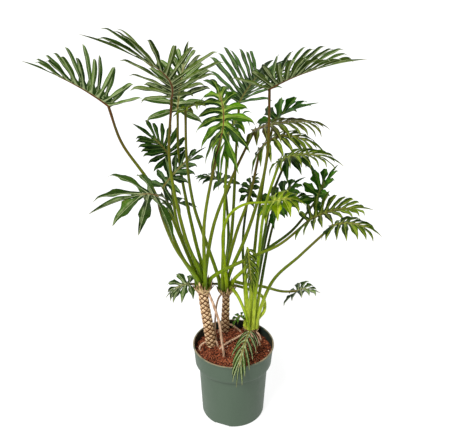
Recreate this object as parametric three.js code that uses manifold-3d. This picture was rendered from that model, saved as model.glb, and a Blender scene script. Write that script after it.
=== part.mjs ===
// A potted philodendron with three leafy stems in a green nursery pot.
// Millimetres, Z up. The origin is the middle of the pot's base and the viewer looks along +Y.

import * as THREE from 'three';
import { mergeVertices } from 'three/addons/utils/BufferGeometryUtils.js';
import Module from 'manifold-3d';

const wasm = await Module();
wasm.setup();

// Driving dimensions of the pot
const potHeight = 244;
const lipRadius = 120;
const lipWidth = 4.5;
const lipDepth = 5;
const collarTop = 118;
const collarFoot = 113.5;
const collarDepth = 60;
const ledgeDepth = 6;
const bodyTop = 102.5;
const bodyFoot = 94.5;
const cornerRadius = 8;
const wall = 2.5;
const potSides = 32;

// Drain slots are cut through the corner where the wall meets the floor
const slotCount = 3;
const slotWidth = 44;
const slotHeight = 9;
const slotDepth = 8.5;
const slotTurn = 8;

// Soil fills the pot to a little below the lip
const soilLevel = 222;
const soilGap = 0.4;
const soilSwell = 3;

// Fit of a stem and its roots in the soil, and of a leaf base on its crown
const clearance = 0.35;
const holeDepth = 34;
const holeMargin = 2.2;
const holeSides = 20;
const rootGap = 1;
const rootSink = 10;
const rootTaper = 0.8;
const rootSides = 5;

// Leaf scars are a net of raised diamonds round each stem
const scarHeight = 17;
const scarRelief = 1.3;

// Petioles are widest where they leave the crown
const petioleFoot = 6;
const petioleEnd = 3.1;
const petioleSides = 5;
const petioleSteps = 8;
const ringRadius = 19.6;
const heartRadius = 7.1;
const coreRadius = 13.1;
const coreTaper = 0.4;
const crownRadius = 26;
const crownDepth = 26;
const crownEdge = 10;
const crownBevel = 6;

// Blade thickness above and below its middle surface, and the depth of the rib's keel
const bladeHalf = 0.55;
const keelFoot = 3.2;
const keelEnd = 1.3;

// Lobes differ a little in angle, in degrees, and in length, and bow forward
const lobeTurn = 3;
const lobeGrowth = 0.08;
const lobeBow = 0.12;

// Lobes stand a little closer together at the foot of the rib and are longest at lobeFullest of it
const ribCrowding = 1.12;
const lobeFullest = 0.4;

// The lobe at the end of the rib, as shares of the reach and the droop of the last lobes
const endReach = 1.1;
const endWidest = 0.55;
const endSag = 0.25;
const endDroop = 0.8;

// A petiole ends a little way along the underside of the rib
const petioleTuck = 5;
const petioleDrop = 0.8;

// A lobe is narrow at its waist beside the rib, widest at lobeWidest and pointed at the tip; the
// rooms are the shares that it fills of the space beside its neighbours, the rib and the last lobes
const lobeSwell = 0.62;
const lobeWaist = 0.42;
const lobeWidest = 0.55;
const lobeTaper = 3;
const lobeRoom = 0.84;
const ribRoom = 0.62;
const endRoom = 0.32;

// Places along a lobe, from 0 at the rib to 1 at its tip, where the blade has points
const notch = 0.13;
const tipNotch = 0.2;
const longLobe = 100;
const longStations = [0.42, 0.78];
const shortStations = [0.55];

// Each stem stands at foot and leans to crown; the core carries the youngest leaves
const stems = [
  { name: 'stem_left', foot: [-67, 17], crown: [-87, 2], level: 438, core: 14, radius: 14.5, scars: 5 },
  { name: 'stem_back', foot: [-25, 92], crown: [-22, 90], level: 376, core: 14, radius: 11.5, scars: 4 },
  { name: 'stem_right', foot: [55, 72], crown: [55, 72], level: 252, core: 62, radius: 15, scars: 5 },
];

// Aerial roots, by the stem that they grow from
const roots = [
  { stem: 0, radius: 4.2,
    points: [[-76, 0, 425], [-60, -12, 390], [-42, -22, 330], [-34, -34, 270], [-28, -42, 223]] },
  { stem: 0, radius: 3, points: [[-70, 14, 236], [-88, 4, 238], [-99, -4, 232], [-101, -8, 223]] },
  { stem: 0, radius: 3, points: [[-62, 20, 236], [-52, 12, 240], [-46, 4, 223]] },
  { stem: 1, radius: 2.8,
    points: [[-30, 88, 366], [-46, 70, 348], [-54, 48, 300], [-54, 30, 262], [-50, 24, 223]] },
  { stem: 1, radius: 3.2, points: [[-24, 98, 240], [-4, 94, 240], [14, 84, 232], [24, 80, 223]] },
  { stem: 1, radius: 2.8, points: [[-30, 98, 234], [-40, 86, 232], [-46, 78, 223]] },
  { stem: 2, radius: 3.2, points: [[60, 66, 240], [76, 52, 238], [84, 40, 223]] },
  { stem: 2, radius: 3.2, points: [[58, 62, 238], [70, 40, 236], [80, 14, 223]] },
  { stem: 2, radius: 3, points: [[52, 60, 238], [58, 38, 236], [66, 14, 223]] },
  { stem: 2, radius: 3.4, points: [[46, 64, 240], [14, 34, 238], [-20, 8, 234], [-40, -6, 223]] },
];

// Leaves by the crown that they grow from: stem 0 is the left one, 1 the back one and 2 the right one.
// seat is the compass angle round the crown and heart says that the leaf stands on the core.
// rise is how far the petiole first stands upright and via are the points that it then runs through,
// joint is where it meets the blade and tip is the end of the rib.
// arch lifts the middle of the rib, bend moves it sideways, roll turns the blade on it and fold
// lifts its two halves. lobes counts one side and reach and width size the longest lobe.
// near and far are the share of reach at the rear and the front, and back and front the angles of
// those lobes to the rib, between which turn spreads the rest. droop is how far the lobes hang.
const usual = {
  rise: 22, arch: 4, bend: 0, roll: 0, fold: 10,
  near: 0.75, far: 0.7, back: 115, front: 25, turn: 0.8, droop: 12,
};
const leaves = [
  { name: 'leaf_upper_left', stem: 0, seat: 195,
    via: [[-145, -15, 545], [-215, -40, 765], [-280, -55, 885]],
    joint: [-300, -60, 975], tip: [-405, -105, 1060],
    lobes: 8, reach: 135, width: 12, fold: 50, back: 112, front: 18, far: 0.6, turn: 0.9, droop: 4 },
  { name: 'leaf_top_front', stem: 0, seat: 224, heart: true, via: [[-130, -25, 600], [-165, -35, 830]],
    joint: [-155, -40, 990], tip: [-200, -120, 1095],
    lobes: 10, reach: 160, width: 13, arch: 8, bend: 23, fold: 26, near: 0.5, far: 0.95,
    back: 115, front: 15, turn: 0.8, droop: 14 },
  { name: 'leaf_top_back', stem: 0, seat: 80, via: [[-110, 55, 560], [-150, 90, 785]],
    joint: [-150, 80, 922], tip: [-135, 150, 1027],
    lobes: 7, reach: 112, width: 17, fold: 20, back: 110 },
  { name: 'leaf_olive_small', stem: 1, seat: 185, via: [[-85, 65, 565], [-110, 40, 670], [-122, -28, 834]],
    joint: [-125, -15, 950], tip: [-95, -50, 980],
    lobes: 4, reach: 50, width: 14, back: 110 },
  { name: 'leaf_bright_centre', stem: 0, seat: 290, via: [[-80, -40, 650], [-55, -80, 815]],
    joint: [-35, -100, 910], tip: [-38, -52, 1004],
    lobes: 7, reach: 86, width: 17, arch: 8, bend: -8, roll: 28, fold: -4, back: 158, front: 34, near: 1.1,
    far: 0.8, droop: 36 },
  { name: 'leaf_bright_right', stem: 1, seat: 237, via: [[-28, 70, 600], [-22, 35, 775]],
    joint: [-20, 0, 877], tip: [10, 10, 927],
    lobes: 5, reach: 72, width: 23, back: 165, near: 1.1, droop: 40 },
  { name: 'leaf_top_centre', stem: 1, seat: 100, heart: true, via: [[-5, 95, 570], [5, 75, 820]],
    joint: [10, 60, 950], tip: [66, 190, 993],
    lobes: 9, reach: 152, width: 16, roll: -10, fold: 36, back: 103, front: 44, far: 0.75, droop: 8 },
  { name: 'leaf_top_right', stem: 1, seat: 342, heart: true,
    via: [[30, 50, 560], [60, -5, 700], [78, -98, 882]],
    joint: [76, -60, 1017], tip: [182, -105, 1076],
    lobes: 10, reach: 122, width: 14, fold: 33, near: 1.2, back: 102, front: 16, far: 0.9, droop: 12 },
  { name: 'leaf_brown', stem: 0, seat: 342, heart: true, via: [[-55, -5, 635], [-8, -10, 770]],
    joint: [45, 18, 890], tip: [175, -22, 928],
    lobes: 9, reach: 84, width: 13, arch: 8, roll: -5, fold: 6, near: 0.6, back: 105, front: 20, turn: 0.65,
    droop: 26 },
  { name: 'leaf_right_dark', stem: 2, seat: 120, heart: true,
    via: [[66, 95, 570], [80, 104, 700], [95, 108, 820]],
    joint: [102, 112, 884], tip: [147, 122, 912],
    lobes: 5, reach: 90, width: 20, fold: 18, near: 0.75, far: 0.9, back: 125, front: 20, droop: 6 },
  { name: 'leaf_olive_droop', stem: 1, seat: 221, heart: true, via: [[10, 38, 600], [40, 8, 710]],
    joint: [60, -26, 853], tip: [168, -54, 893],
    lobes: 8, reach: 80, width: 13, arch: 22, roll: -8, fold: 0, back: 122, front: 28, near: 0.75,
    turn: 0.65, droop: 24 },
  { name: 'leaf_light_underside', stem: 2, seat: 285, via: [[70, -5, 565], [76, -114, 744]],
    joint: [100, -136, 864], tip: [185, -171, 894],
    lobes: 8, reach: 77, width: 13, arch: 8, fold: 16, back: 98, front: 20, far: 0.8, turn: 0.65,
    droop: 24 },
  { name: 'leaf_dark_arch', stem: 2, seat: 240, heart: true, via: [[85, 46, 575], [100, 20, 705]],
    joint: [130, 20, 805], tip: [185, 35, 805],
    lobes: 5, reach: 66, width: 16, arch: 12, fold: 0, droop: 24 },
  { name: 'leaf_star', stem: 2, seat: 0, heart: true, via: [[90, 60, 555]],
    joint: [105, 55, 650], tip: [155, 80, 705],
    lobes: 5, reach: 80, width: 21, back: 128, front: 30 },
  { name: 'leaf_star_low', stem: 2, seat: 42, via: [[100, 85, 525]],
    joint: [120, 110, 625], tip: [180, 120, 655],
    lobes: 5, reach: 78, width: 20, back: 120 },
  { name: 'leaf_young', stem: 1, seat: 275, via: [[-30, 25, 595], [-10, 0, 665], [30, -25, 705]],
    joint: [90, -47, 718], tip: [140, -67, 738],
    lobes: 5, reach: 62, width: 20, roll: -15, back: 140, front: 32, near: 0.7, droop: 24 },
  { name: 'leaf_back_dark', stem: 1, seat: 110, via: [[-15, 135, 515]],
    joint: [-20, 150, 690], tip: [-75, 180, 700],
    lobes: 5, reach: 66, width: 17, back: 130, near: 0.85 },
  { name: 'leaf_back_right', stem: 2, seat: 135, via: [[28, 125, 525]],
    joint: [42, 148, 652], tip: [58, 168, 694],
    lobes: 5, reach: 46, width: 16, back: 122, near: 0.7 },
  { name: 'leaf_dark_left', stem: 0, seat: 103, heart: true, via: [[-155, 90, 565]],
    joint: [-180, 118, 782], tip: [-215, 118, 832],
    lobes: 7, reach: 86, width: 13, roll: 50, back: 95, front: 28, far: 0.85, droop: 6 },
  { name: 'leaf_blue', stem: 0, seat: 155, via: [[-135, 14, 550], [-170, 30, 640]],
    joint: [-195, 42, 720], tip: [-124, 56, 797],
    lobes: 6, reach: 66, width: 16, roll: -42, fold: 10, near: 0.8, far: 0.9, back: 105, front: 18,
    droop: 8 },
  { name: 'leaf_left_fan', stem: 0, seat: 237, via: [[-155, -45, 580], [-185, -95, 705]],
    joint: [-188, -120, 768], tip: [-226, -150, 786],
    lobes: 4, reach: 124, width: 20, roll: 25, fold: 0, back: 150, front: 22, near: 0.5, far: 1.05,
    droop: 24 },
  { name: 'leaf_left_back', stem: 0, seat: 118, via: [[-150, 115, 525]],
    joint: [-190, 150, 620], tip: [-150, 160, 625],
    lobes: 4, reach: 64, width: 16, front: 32 },
  { name: 'leaf_far_right', stem: 0, seat: 350, via: [[45, -25, 545], [120, -45, 595]],
    joint: [190, -40, 660], tip: [290, -85, 720],
    lobes: 9, reach: 84, width: 13, arch: 8, roll: -20, fold: 20, back: 112, front: 18, droop: 12 },
  { name: 'leaf_right_upright', stem: 1, seat: 351, via: [[30, 62, 455], [90, 18, 545], [160, 15, 608]],
    joint: [225, 38, 686], tip: [245, 53, 731],
    lobes: 4, reach: 70, width: 19, fold: 25, far: 0.9, droop: 4 },
  { name: 'leaf_right_low', stem: 2, seat: 323, via: [[110, 20, 440], [175, -60, 570]],
    joint: [236, -138, 695], tip: [306, -182, 718],
    lobes: 7, reach: 66, width: 15, arch: 8, roll: -5, fold: 4, near: 0.6, back: 120, droop: 16 },
  { name: 'leaf_small_right', stem: 1, seat: 35, rise: 16,
    via: [[30, 112, 378], [90, 105, 372], [140, 50, 390]],
    joint: [175, -10, 425], tip: [205, -20, 440],
    lobes: 5, reach: 52, width: 16, back: 138, near: 1, droop: 8 },
  { name: 'leaf_small_left', stem: 2, seat: 3,
    via: [[93, 60, 318], [88, 104, 338], [5, 135, 358], [-75, 125, 370]],
    joint: [-130, 115, 375], tip: [-170, 110, 365],
    lobes: 4, reach: 60, width: 18, roll: 25, back: 110, droop: 12 },
  { name: 'leaf_over_rim', stem: 1, seat: 313, rise: 12, via: [[14, 58, 366], [36, 36, 318]],
    joint: [50, -10, 295], tip: [15, -130, 262],
    lobes: 6, reach: 58, width: 9, arch: 18, fold: 5, back: 52, front: 24, droop: 30 },
  { name: 'leaf_base_dark', stem: 2, seat: 175, via: [],
    joint: [28, 76, 288], tip: [6, 72, 270],
    lobes: 4, reach: 28, width: 9, droop: 4 },
  { name: 'leaf_hanging', stem: 2, seat: 245, via: [[30, -30, 535]],
    joint: [35, -60, 595], tip: [45, -70, 500],
    lobes: 6, reach: 46, width: 9, arch: 0, back: 65, front: 35, droop: 12 },
].map((leaf) => ({ ...usual, ...leaf }));

const zAxis = new THREE.Vector3(0, 0, 1);

function point(list) {
  return new THREE.Vector3(...list);
}

function radians(degrees) {
  return THREE.MathUtils.degToRad(degrees);
}

// A repeatable value from -1 to 1 for the small differences between lobes
function vary(seed) {
  const wave = Math.sin(seed * 12.9898) * 43758.5453;
  return 2 * (wave - Math.floor(wave)) - 1;
}

function toSolid(geometry) {
  const bare = geometry.clone();
  bare.deleteAttribute('normal');
  bare.deleteAttribute('uv');
  const merged = mergeVertices(bare, 1e-4);
  return new wasm.Manifold(new wasm.Mesh({
    numProp: 3,
    vertProperties: new Float32Array(merged.attributes.position.array),
    triVerts: new Uint32Array(merged.index.array),
  }));
}

function toGeometry(solid) {
  const mesh = solid.getMesh();
  const geometry = new THREE.BufferGeometry();
  geometry.setAttribute('position', new THREE.BufferAttribute(new Float32Array(mesh.vertProperties), 3));
  geometry.setIndex(new THREE.BufferAttribute(new Uint32Array(mesh.triVerts), 1));
  geometry.computeVertexNormals();
  return geometry;
}

function fromLists(vertices, triangles) {
  const geometry = new THREE.BufferGeometry();
  const numbers = vertices.flatMap((v) => v.toArray());
  geometry.setAttribute('position', new THREE.Float32BufferAttribute(numbers, 3));
  geometry.setIndex(triangles.flat());
  return geometry;
}

// A round tube along a curve, drawn in from one radius to another
function tube(curve, foot, end, sides, steps) {
  const section = new THREE.Shape();
  section.absarc(0, 0, 1, 0, 2 * Math.PI);
  const outline = new THREE.Shape(section.getSpacedPoints(sides).slice(0, sides));
  const geometry = new THREE.ExtrudeGeometry(outline, { steps, extrudePath: curve });
  const stations = curve.getSpacedPoints(steps);
  const places = geometry.attributes.position;
  const place = new THREE.Vector3();
  for (let i = 0; i < places.count; i += 1) {
    place.fromBufferAttribute(places, i);
    let nearest = 0;
    for (let s = 1; s <= steps; s += 1) {
      if (place.distanceTo(stations[s]) < place.distanceTo(stations[nearest])) nearest = s;
    }
    const radius = THREE.MathUtils.lerp(foot, end, nearest / steps);
    place.sub(stations[nearest]).multiplyScalar(radius).add(stations[nearest]);
    places.setXYZ(i, place.x, place.y, place.z);
  }
  return toSolid(geometry);
}

function lathe(profile, sides) {
  const geometry = new THREE.LatheGeometry(profile.map(([r, z]) => new THREE.Vector2(r, z)), sides);
  geometry.rotateX(Math.PI / 2);
  return toSolid(geometry);
}

// The pot's outer line from the middle of its base up to the lip, then the inner line back down
function potSolid() {
  const shoulder = potHeight - collarDepth;
  const ledge = shoulder - ledgeDepth;
  const corner = [30, 60].map((turn) => [
    bodyFoot - cornerRadius + cornerRadius * Math.sin(radians(turn)),
    cornerRadius - cornerRadius * Math.cos(radians(turn)),
  ]);
  const profile = [
    [0, 0],
    [bodyFoot - cornerRadius, 0],
    ...corner,
    [bodyFoot, cornerRadius + 2],
    [bodyTop, ledge],
    [collarFoot - 2, shoulder - 2],
    [collarFoot, shoulder],
    [collarTop, potHeight - lipDepth],
    [lipRadius, potHeight - lipDepth + 1],
    [lipRadius, potHeight - 1],
    [lipRadius - 1, potHeight],
    [lipRadius - lipWidth, potHeight],
    [collarFoot - wall, shoulder + 2],
    [bodyTop - wall, ledge + 2],
    [bodyFoot - wall, cornerRadius + wall],
    [bodyFoot - wall - cornerRadius, wall],
    [0, wall],
  ];
  let pot = lathe(profile, potSides);
  for (let k = 0; k < slotCount; k += 1) {
    const cutter = new THREE.BoxGeometry(2 * slotDepth, slotWidth, 2 * slotHeight);
    cutter.translate(bodyFoot, 0, 0);
    cutter.rotateZ(2 * Math.PI * (k / slotCount) + radians(slotTurn));
    pot = pot.subtract(toSolid(cutter));
  }
  return pot;
}

// An aerial root runs from its stem into the soil; its hole is the same root with a gap round it
function rootSolid(root, gap) {
  const foot = root.points.at(-1).slice();
  foot[2] = soilLevel - rootSink - gap;
  const path = new THREE.CatmullRomCurve3([...root.points, foot].map(point));
  return tube(path, root.radius + gap, root.radius * rootTaper + gap, rootSides, 2 * root.points.length);
}

// Soil: a filling of the pot with a low swell, with a plain hole for each stem
function soilSolid() {
  const ledge = potHeight - collarDepth - ledgeDepth;
  const floor = wall + soilGap;
  const edge = THREE.MathUtils.mapLinear(soilLevel, potHeight - collarDepth + 2, potHeight,
    collarFoot - wall, lipRadius - lipWidth);
  const profile = [
    [0, floor],
    [bodyFoot - wall - cornerRadius - 1, floor],
    [bodyFoot - wall - 1, cornerRadius + wall],
    [bodyTop - wall - 1, ledge + 1],
    [edge - 1.5, soilLevel - 4],
    [edge - 6, soilLevel - 1],
    [edge / 2, soilLevel + soilSwell / 2],
    [0, soilLevel + soilSwell],
  ];
  let soil = lathe(profile, potSides);
  for (const stem of stems) {
    const bore = stem.radius + holeMargin;
    const hole = new THREE.CylinderGeometry(bore, bore, 2 * holeDepth, holeSides);
    hole.rotateX(Math.PI / 2);
    hole.translate(stem.foot[0], stem.foot[1], soilLevel);
    soil = soil.subtract(toSolid(hole));
  }
  for (const root of roots) soil = soil.subtract(rootSolid(root, rootGap));
  return soil;
}

// Height of a stem's axis above the foot of its hole, with its lean growing smoothly
function stemAxis(stem, height) {
  const foot = soilLevel - holeDepth + clearance;
  const share = THREE.MathUtils.clamp((height - soilLevel) / (stem.level - crownDepth - soilLevel), 0, 1);
  const lean = THREE.MathUtils.smoothstep(share, 0, 1) * 0.5 + share * 0.5;
  return new THREE.Vector3(
    THREE.MathUtils.lerp(stem.foot[0], stem.crown[0], lean),
    THREE.MathUtils.lerp(stem.foot[1], stem.crown[1], lean),
    Math.max(height, foot),
  );
}

// A stem: rings of alternating high and low points give the net of leaf scars
function stemSolid(stem) {
  const columns = 2 * stem.scars;
  const foot = soilLevel - holeDepth + clearance;
  const neck = stem.level - crownDepth;
  const rows = Math.round((neck - foot) / (scarHeight / 2));
  const rings = [];
  for (let row = 0; row <= rows; row += 1) {
    const height = THREE.MathUtils.lerp(foot, neck, row / rows);
    const axis = stemAxis(stem, height);
    const ring = [];
    for (let column = 0; column < columns; column += 1) {
      const raised = (row + column) % 2 === 1 ? scarRelief : -scarRelief;
      const turn = 2 * Math.PI * (column / columns);
      const radius = stem.radius + raised;
      const out = new THREE.Vector3(radius * Math.cos(turn), radius * Math.sin(turn), 0);
      ring.push(new THREE.Vector3(axis.x, axis.y, height).add(out));
    }
    rings.push(ring);
  }
  const [cx, cy] = stem.crown;
  const seatLevel = stem.level - clearance;
  const cap = [
    [crownRadius - crownBevel, stem.level - crownEdge],
    [crownRadius, seatLevel],
    [coreRadius, seatLevel],
    [coreRadius - coreTaper, seatLevel + stem.core],
  ];
  for (const [radius, height] of cap) {
    rings.push(Array.from({ length: columns }, (_, column) => {
      const turn = 2 * Math.PI * (column / columns);
      return new THREE.Vector3(cx + radius * Math.cos(turn), cy + radius * Math.sin(turn), height);
    }));
  }
  const vertices = rings.flat();
  const triangles = [];
  for (let row = 0; row + 1 < rings.length; row += 1) {
    for (let column = 0; column < columns; column += 1) {
      const next = (column + 1) % columns;
      const a = row * columns + column;
      const b = row * columns + next;
      const c = b + columns;
      const d = a + columns;
      if ((row + column) % 2 === 1) triangles.push([a, b, c], [a, c, d]);
      else triangles.push([a, b, d], [b, c, d]);
    }
  }
  const last = rings.length - 1;
  for (let column = 1; column + 1 < columns; column += 1) {
    triangles.push([0, column + 1, column]);
    triangles.push([last * columns, last * columns + column, last * columns + column + 1]);
  }
  let solid = toSolid(fromLists(vertices, triangles));
  for (const root of roots) {
    if (stems[root.stem] === stem) solid = solid.add(rootSolid(root, 0));
  }
  return solid;
}

// Where a leaf stands on its crown
function seatPoint(leaf) {
  const stem = stems[leaf.stem];
  const radius = leaf.heart ? heartRadius : ringRadius;
  const level = leaf.heart ? stem.level + stem.core : stem.level;
  const turn = radians(leaf.seat);
  return new THREE.Vector3(
    stem.crown[0] + radius * Math.cos(turn),
    stem.crown[1] + radius * Math.sin(turn),
    level,
  );
}

// The rib runs in one arch from the joint to the tip
function ribCurve(leaf) {
  const joint = point(leaf.joint);
  const tip = point(leaf.tip);
  const along = tip.clone().sub(joint).normalize();
  const lift = zAxis.clone().addScaledVector(along, -zAxis.dot(along)).normalize();
  const middle = joint.clone().add(tip).multiplyScalar(0.5)
    .addScaledVector(lift, 2 * leaf.arch)
    .addScaledVector(along.clone().cross(zAxis).normalize(), -2 * leaf.bend);
  return new THREE.QuadraticBezierCurve3(joint, middle, tip);
}

// Directions at a place on the rib: along it, across it to the right, and up out of the blade
function ribFrame(leaf, rib, share) {
  const along = rib.getTangent(share);
  const level = along.clone().cross(zAxis).normalize();
  const rise = level.clone().cross(along).normalize();
  const roll = radians(leaf.roll);
  const across = level.clone().multiplyScalar(Math.cos(roll)).addScaledVector(rise, Math.sin(roll));
  const up = across.clone().cross(along).normalize();
  return { along, across, up };
}

function ribShare(leaf, index) {
  return (index / leaf.lobes) ** ribCrowding;
}

// Lobes grow from the rear to the fullest place and shrink towards the tip
function reachShare(leaf, order) {
  if (order < lobeFullest) return THREE.MathUtils.lerp(leaf.near, 1, order / lobeFullest);
  return THREE.MathUtils.lerp(1, leaf.far, (order - lobeFullest) / (1 - lobeFullest));
}

// The angle between a lobe and the rib falls from the rear to the front
function lobeAngle(leaf, index) {
  return radians(THREE.MathUtils.lerp(leaf.back, leaf.front, (index / (leaf.lobes - 1)) ** leaf.turn));
}

// Each lobe differs a little in angle and in length
function lobeCourse(leaf, side, index) {
  const seed = leaf.reach + 7.3 * index + 3.1 * side + leaf.joint[0];
  const angle = lobeAngle(leaf, index) + radians(lobeTurn * vary(seed));
  const length = leaf.reach * reachShare(leaf, index / (leaf.lobes - 1)) * (1 + lobeGrowth * vary(seed + 1));
  return { angle, length };
}

// Half of a lobe's width at a place along it, held back where its neighbours leave less room
function lobeHalf(leaf, rib, index, run) {
  const grown = THREE.MathUtils.lerp(lobeWaist, 1, THREE.MathUtils.smoothstep(run, 0, lobeWidest));
  const full = leaf.width * lobeSwell * (1 - run ** lobeTaper) * grown;
  const angle = lobeAngle(leaf, index);
  const along = run * leaf.reach * reachShare(leaf, index / (leaf.lobes - 1));
  const rear = lobeAngle(leaf, Math.max(index, 1) - 1) - lobeAngle(leaf, Math.max(index, 1));
  const ahead = Math.min(index + 1, leaf.lobes - 1);
  const front = lobeAngle(leaf, ahead - 1) - lobeAngle(leaf, ahead);
  const spacing = (rib.getLength() / leaf.lobes) * Math.sin(angle);
  const beside = (spacing + along * Math.min(rear, front)) / 2;
  const room = Math.min(beside, ribRoom * along * Math.sin(angle));
  return Math.min(full, lobeRoom * room);
}

// A place on a lobe: side is 1 on the right and -1 on the left, run goes from the rib to the tip
// and edge from the rear edge of the lobe to its front edge.
function lobePoint(leaf, rib, side, index, run, edge) {
  const share = (ribShare(leaf, index) + ribShare(leaf, index + 1)) / 2;
  const { along, across, up } = ribFrame(leaf, rib, share);
  const { angle, length } = lobeCourse(leaf, side, index);
  const half = lobeHalf(leaf, rib, index, run);
  const fold = radians(leaf.fold);
  const out = across.clone().multiplyScalar(side * Math.cos(fold)).addScaledVector(up, Math.sin(fold));
  const course = along.clone().multiplyScalar(Math.cos(angle)).addScaledVector(out, Math.sin(angle));
  const forward = along.clone().multiplyScalar(Math.sin(angle)).addScaledVector(out, -Math.cos(angle));
  return rib.getPoint(share)
    .addScaledVector(course, length * run)
    .addScaledVector(forward, half * edge + lobeBow * Math.sin(angle) * length * run * run)
    .addScaledVector(zAxis, -leaf.droop * run * run);
}

// Gives a sheet its thickness, split into triangles alike on both faces, with a wall round its edge
function thicken(places, triangles, above, below) {
  const sheet = fromLists(places, triangles);
  sheet.computeVertexNormals();
  const normal = new THREE.Vector3();
  const upper = [];
  const lower = [];
  places.forEach((place, i) => {
    normal.fromBufferAttribute(sheet.attributes.normal, i);
    upper.push(place.clone().addScaledVector(normal, above[i]));
    lower.push(place.clone().addScaledVector(normal, -below[i]));
  });
  const count = places.length;
  const faces = [];
  const edges = new Map();
  for (const [a, b, c] of triangles) {
    faces.push([a, b, c], [a + count, c + count, b + count]);
    for (const [from, to] of [[a, b], [b, c], [c, a]]) {
      if (!edges.delete(`${to} ${from}`)) edges.set(`${from} ${to}`, [from, to]);
    }
  }
  for (const [from, to] of edges.values()) {
    faces.push([from, from + count, to + count], [from, to + count, to]);
  }
  return toSolid(fromLists([...upper, ...lower], faces));
}

// The notch between the last lobe of a side and the lobe at the end of the rib
function endNotch(leaf, rib, side) {
  const { along, across, up } = ribFrame(leaf, rib, 1);
  const fold = radians(leaf.fold);
  const out = across.multiplyScalar(side * Math.cos(fold)).addScaledVector(up, Math.sin(fold));
  const angle = radians(leaf.front) / 2;
  const reach = tipNotch * leaf.reach * leaf.far;
  return rib.getPoint(1)
    .addScaledVector(along, reach * Math.cos(angle))
    .addScaledVector(out, reach * Math.sin(angle));
}

// The blade: a rib with lobes cut nearly to it on both sides and one lobe at the end
function bladeSolid(leaf, rib) {
  const places = [];
  const above = [];
  const below = [];
  const triangles = [];
  const add = (place, keel = bladeHalf) => {
    places.push(place);
    above.push(bladeHalf);
    below.push(keel);
    return places.length - 1;
  };
  const count = leaf.lobes;
  const stations = leaf.reach > longLobe ? longStations : shortStations;
  const ribs = [];
  for (let i = 0; i <= count; i += 1) {
    const share = ribShare(leaf, i);
    ribs.push(add(rib.getPoint(share), THREE.MathUtils.lerp(keelFoot, keelEnd, share)));
  }
  const notches = {};
  for (const side of [1, -1]) {
    const quad = (a, b, c, d) => {
      if (side > 0) triangles.push([a, c, b], [a, d, c]);
      else triangles.push([a, b, c], [a, c, d]);
    };
    const between = [];
    between.push(add(lobePoint(leaf, rib, side, 0, notch, -1)));
    for (let i = 1; i < count; i += 1) {
      const rear = lobePoint(leaf, rib, side, i, notch, -1);
      between.push(add(rear.add(lobePoint(leaf, rib, side, i - 1, notch, 1)).multiplyScalar(0.5)));
    }
    between.push(add(endNotch(leaf, rib, side)));
    for (let i = 0; i < count; i += 1) {
      quad(ribs[i], ribs[i + 1], between[i + 1], between[i]);
      let rear = between[i];
      let front = between[i + 1];
      for (const run of stations) {
        const nextRear = add(lobePoint(leaf, rib, side, i, run, -1));
        const nextFront = add(lobePoint(leaf, rib, side, i, run, 1));
        quad(rear, front, nextFront, nextRear);
        rear = nextRear;
        front = nextFront;
      }
      const end = add(lobePoint(leaf, rib, side, i, 1, 0));
      triangles.push(side > 0 ? [rear, end, front] : [rear, front, end]);
    }
    notches[side] = between[count];
  }
  const { along, across } = ribFrame(leaf, rib, 1);
  const reach = leaf.reach * leaf.far * endReach;
  const tip = rib.getPoint(1);
  const middle = tip.clone()
    .addScaledVector(along, reach * endWidest)
    .addScaledVector(zAxis, -leaf.droop * endSag);
  const half = Math.min(leaf.width, endRoom * reach * Math.sin(radians(leaf.front))) / 2;
  const right = add(middle.clone().addScaledVector(across, half));
  const left = add(middle.clone().addScaledVector(across, -half));
  const end = add(tip.clone().addScaledVector(along, reach).addScaledVector(zAxis, -leaf.droop * endDroop));
  triangles.push(
    [ribs[count], notches[1], right],
    [ribs[count], right, left],
    [ribs[count], left, notches[-1]],
    [left, right, end],
  );
  return thicken(places, triangles, above, below);
}

// The petiole stands upright on its crown, runs through its points and ends under the rib's foot
function petioleSolid(leaf, rib) {
  const seat = seatPoint(leaf);
  const rise = seat.clone().addScaledVector(zAxis, leaf.rise);
  const { along, up } = ribFrame(leaf, rib, 0);
  const end = point(leaf.joint).addScaledVector(along, petioleTuck).addScaledVector(up, -petioleDrop);
  const path = new THREE.CatmullRomCurve3([seat, rise, ...leaf.via.map(point), end], false, 'centripetal');
  return tube(path, petioleFoot, petioleEnd, petioleSides, petioleSteps);
}

function leafSolid(leaf) {
  const rib = ribCurve(leaf);
  return bladeSolid(leaf, rib).add(petioleSolid(leaf, rib));
}

const plant = new THREE.Group();

function place(name, solid, colour, roughness) {
  const material = new THREE.MeshStandardMaterial({ color: colour, roughness, metalness: 0 });
  const mesh = new THREE.Mesh(toGeometry(solid), material);
  mesh.name = name;
  plant.add(mesh);
}

place('pot', potSolid(), 0x64786a, 0.55);
place('soil', soilSolid(), 0x4a2318, 0.95);
for (const stem of stems) place(stem.name, stemSolid(stem), 0xa9825c, 0.85);
for (const leaf of leaves) place(leaf.name, leafSolid(leaf), 0x2f5527, 0.45);

export default plant;
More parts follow.
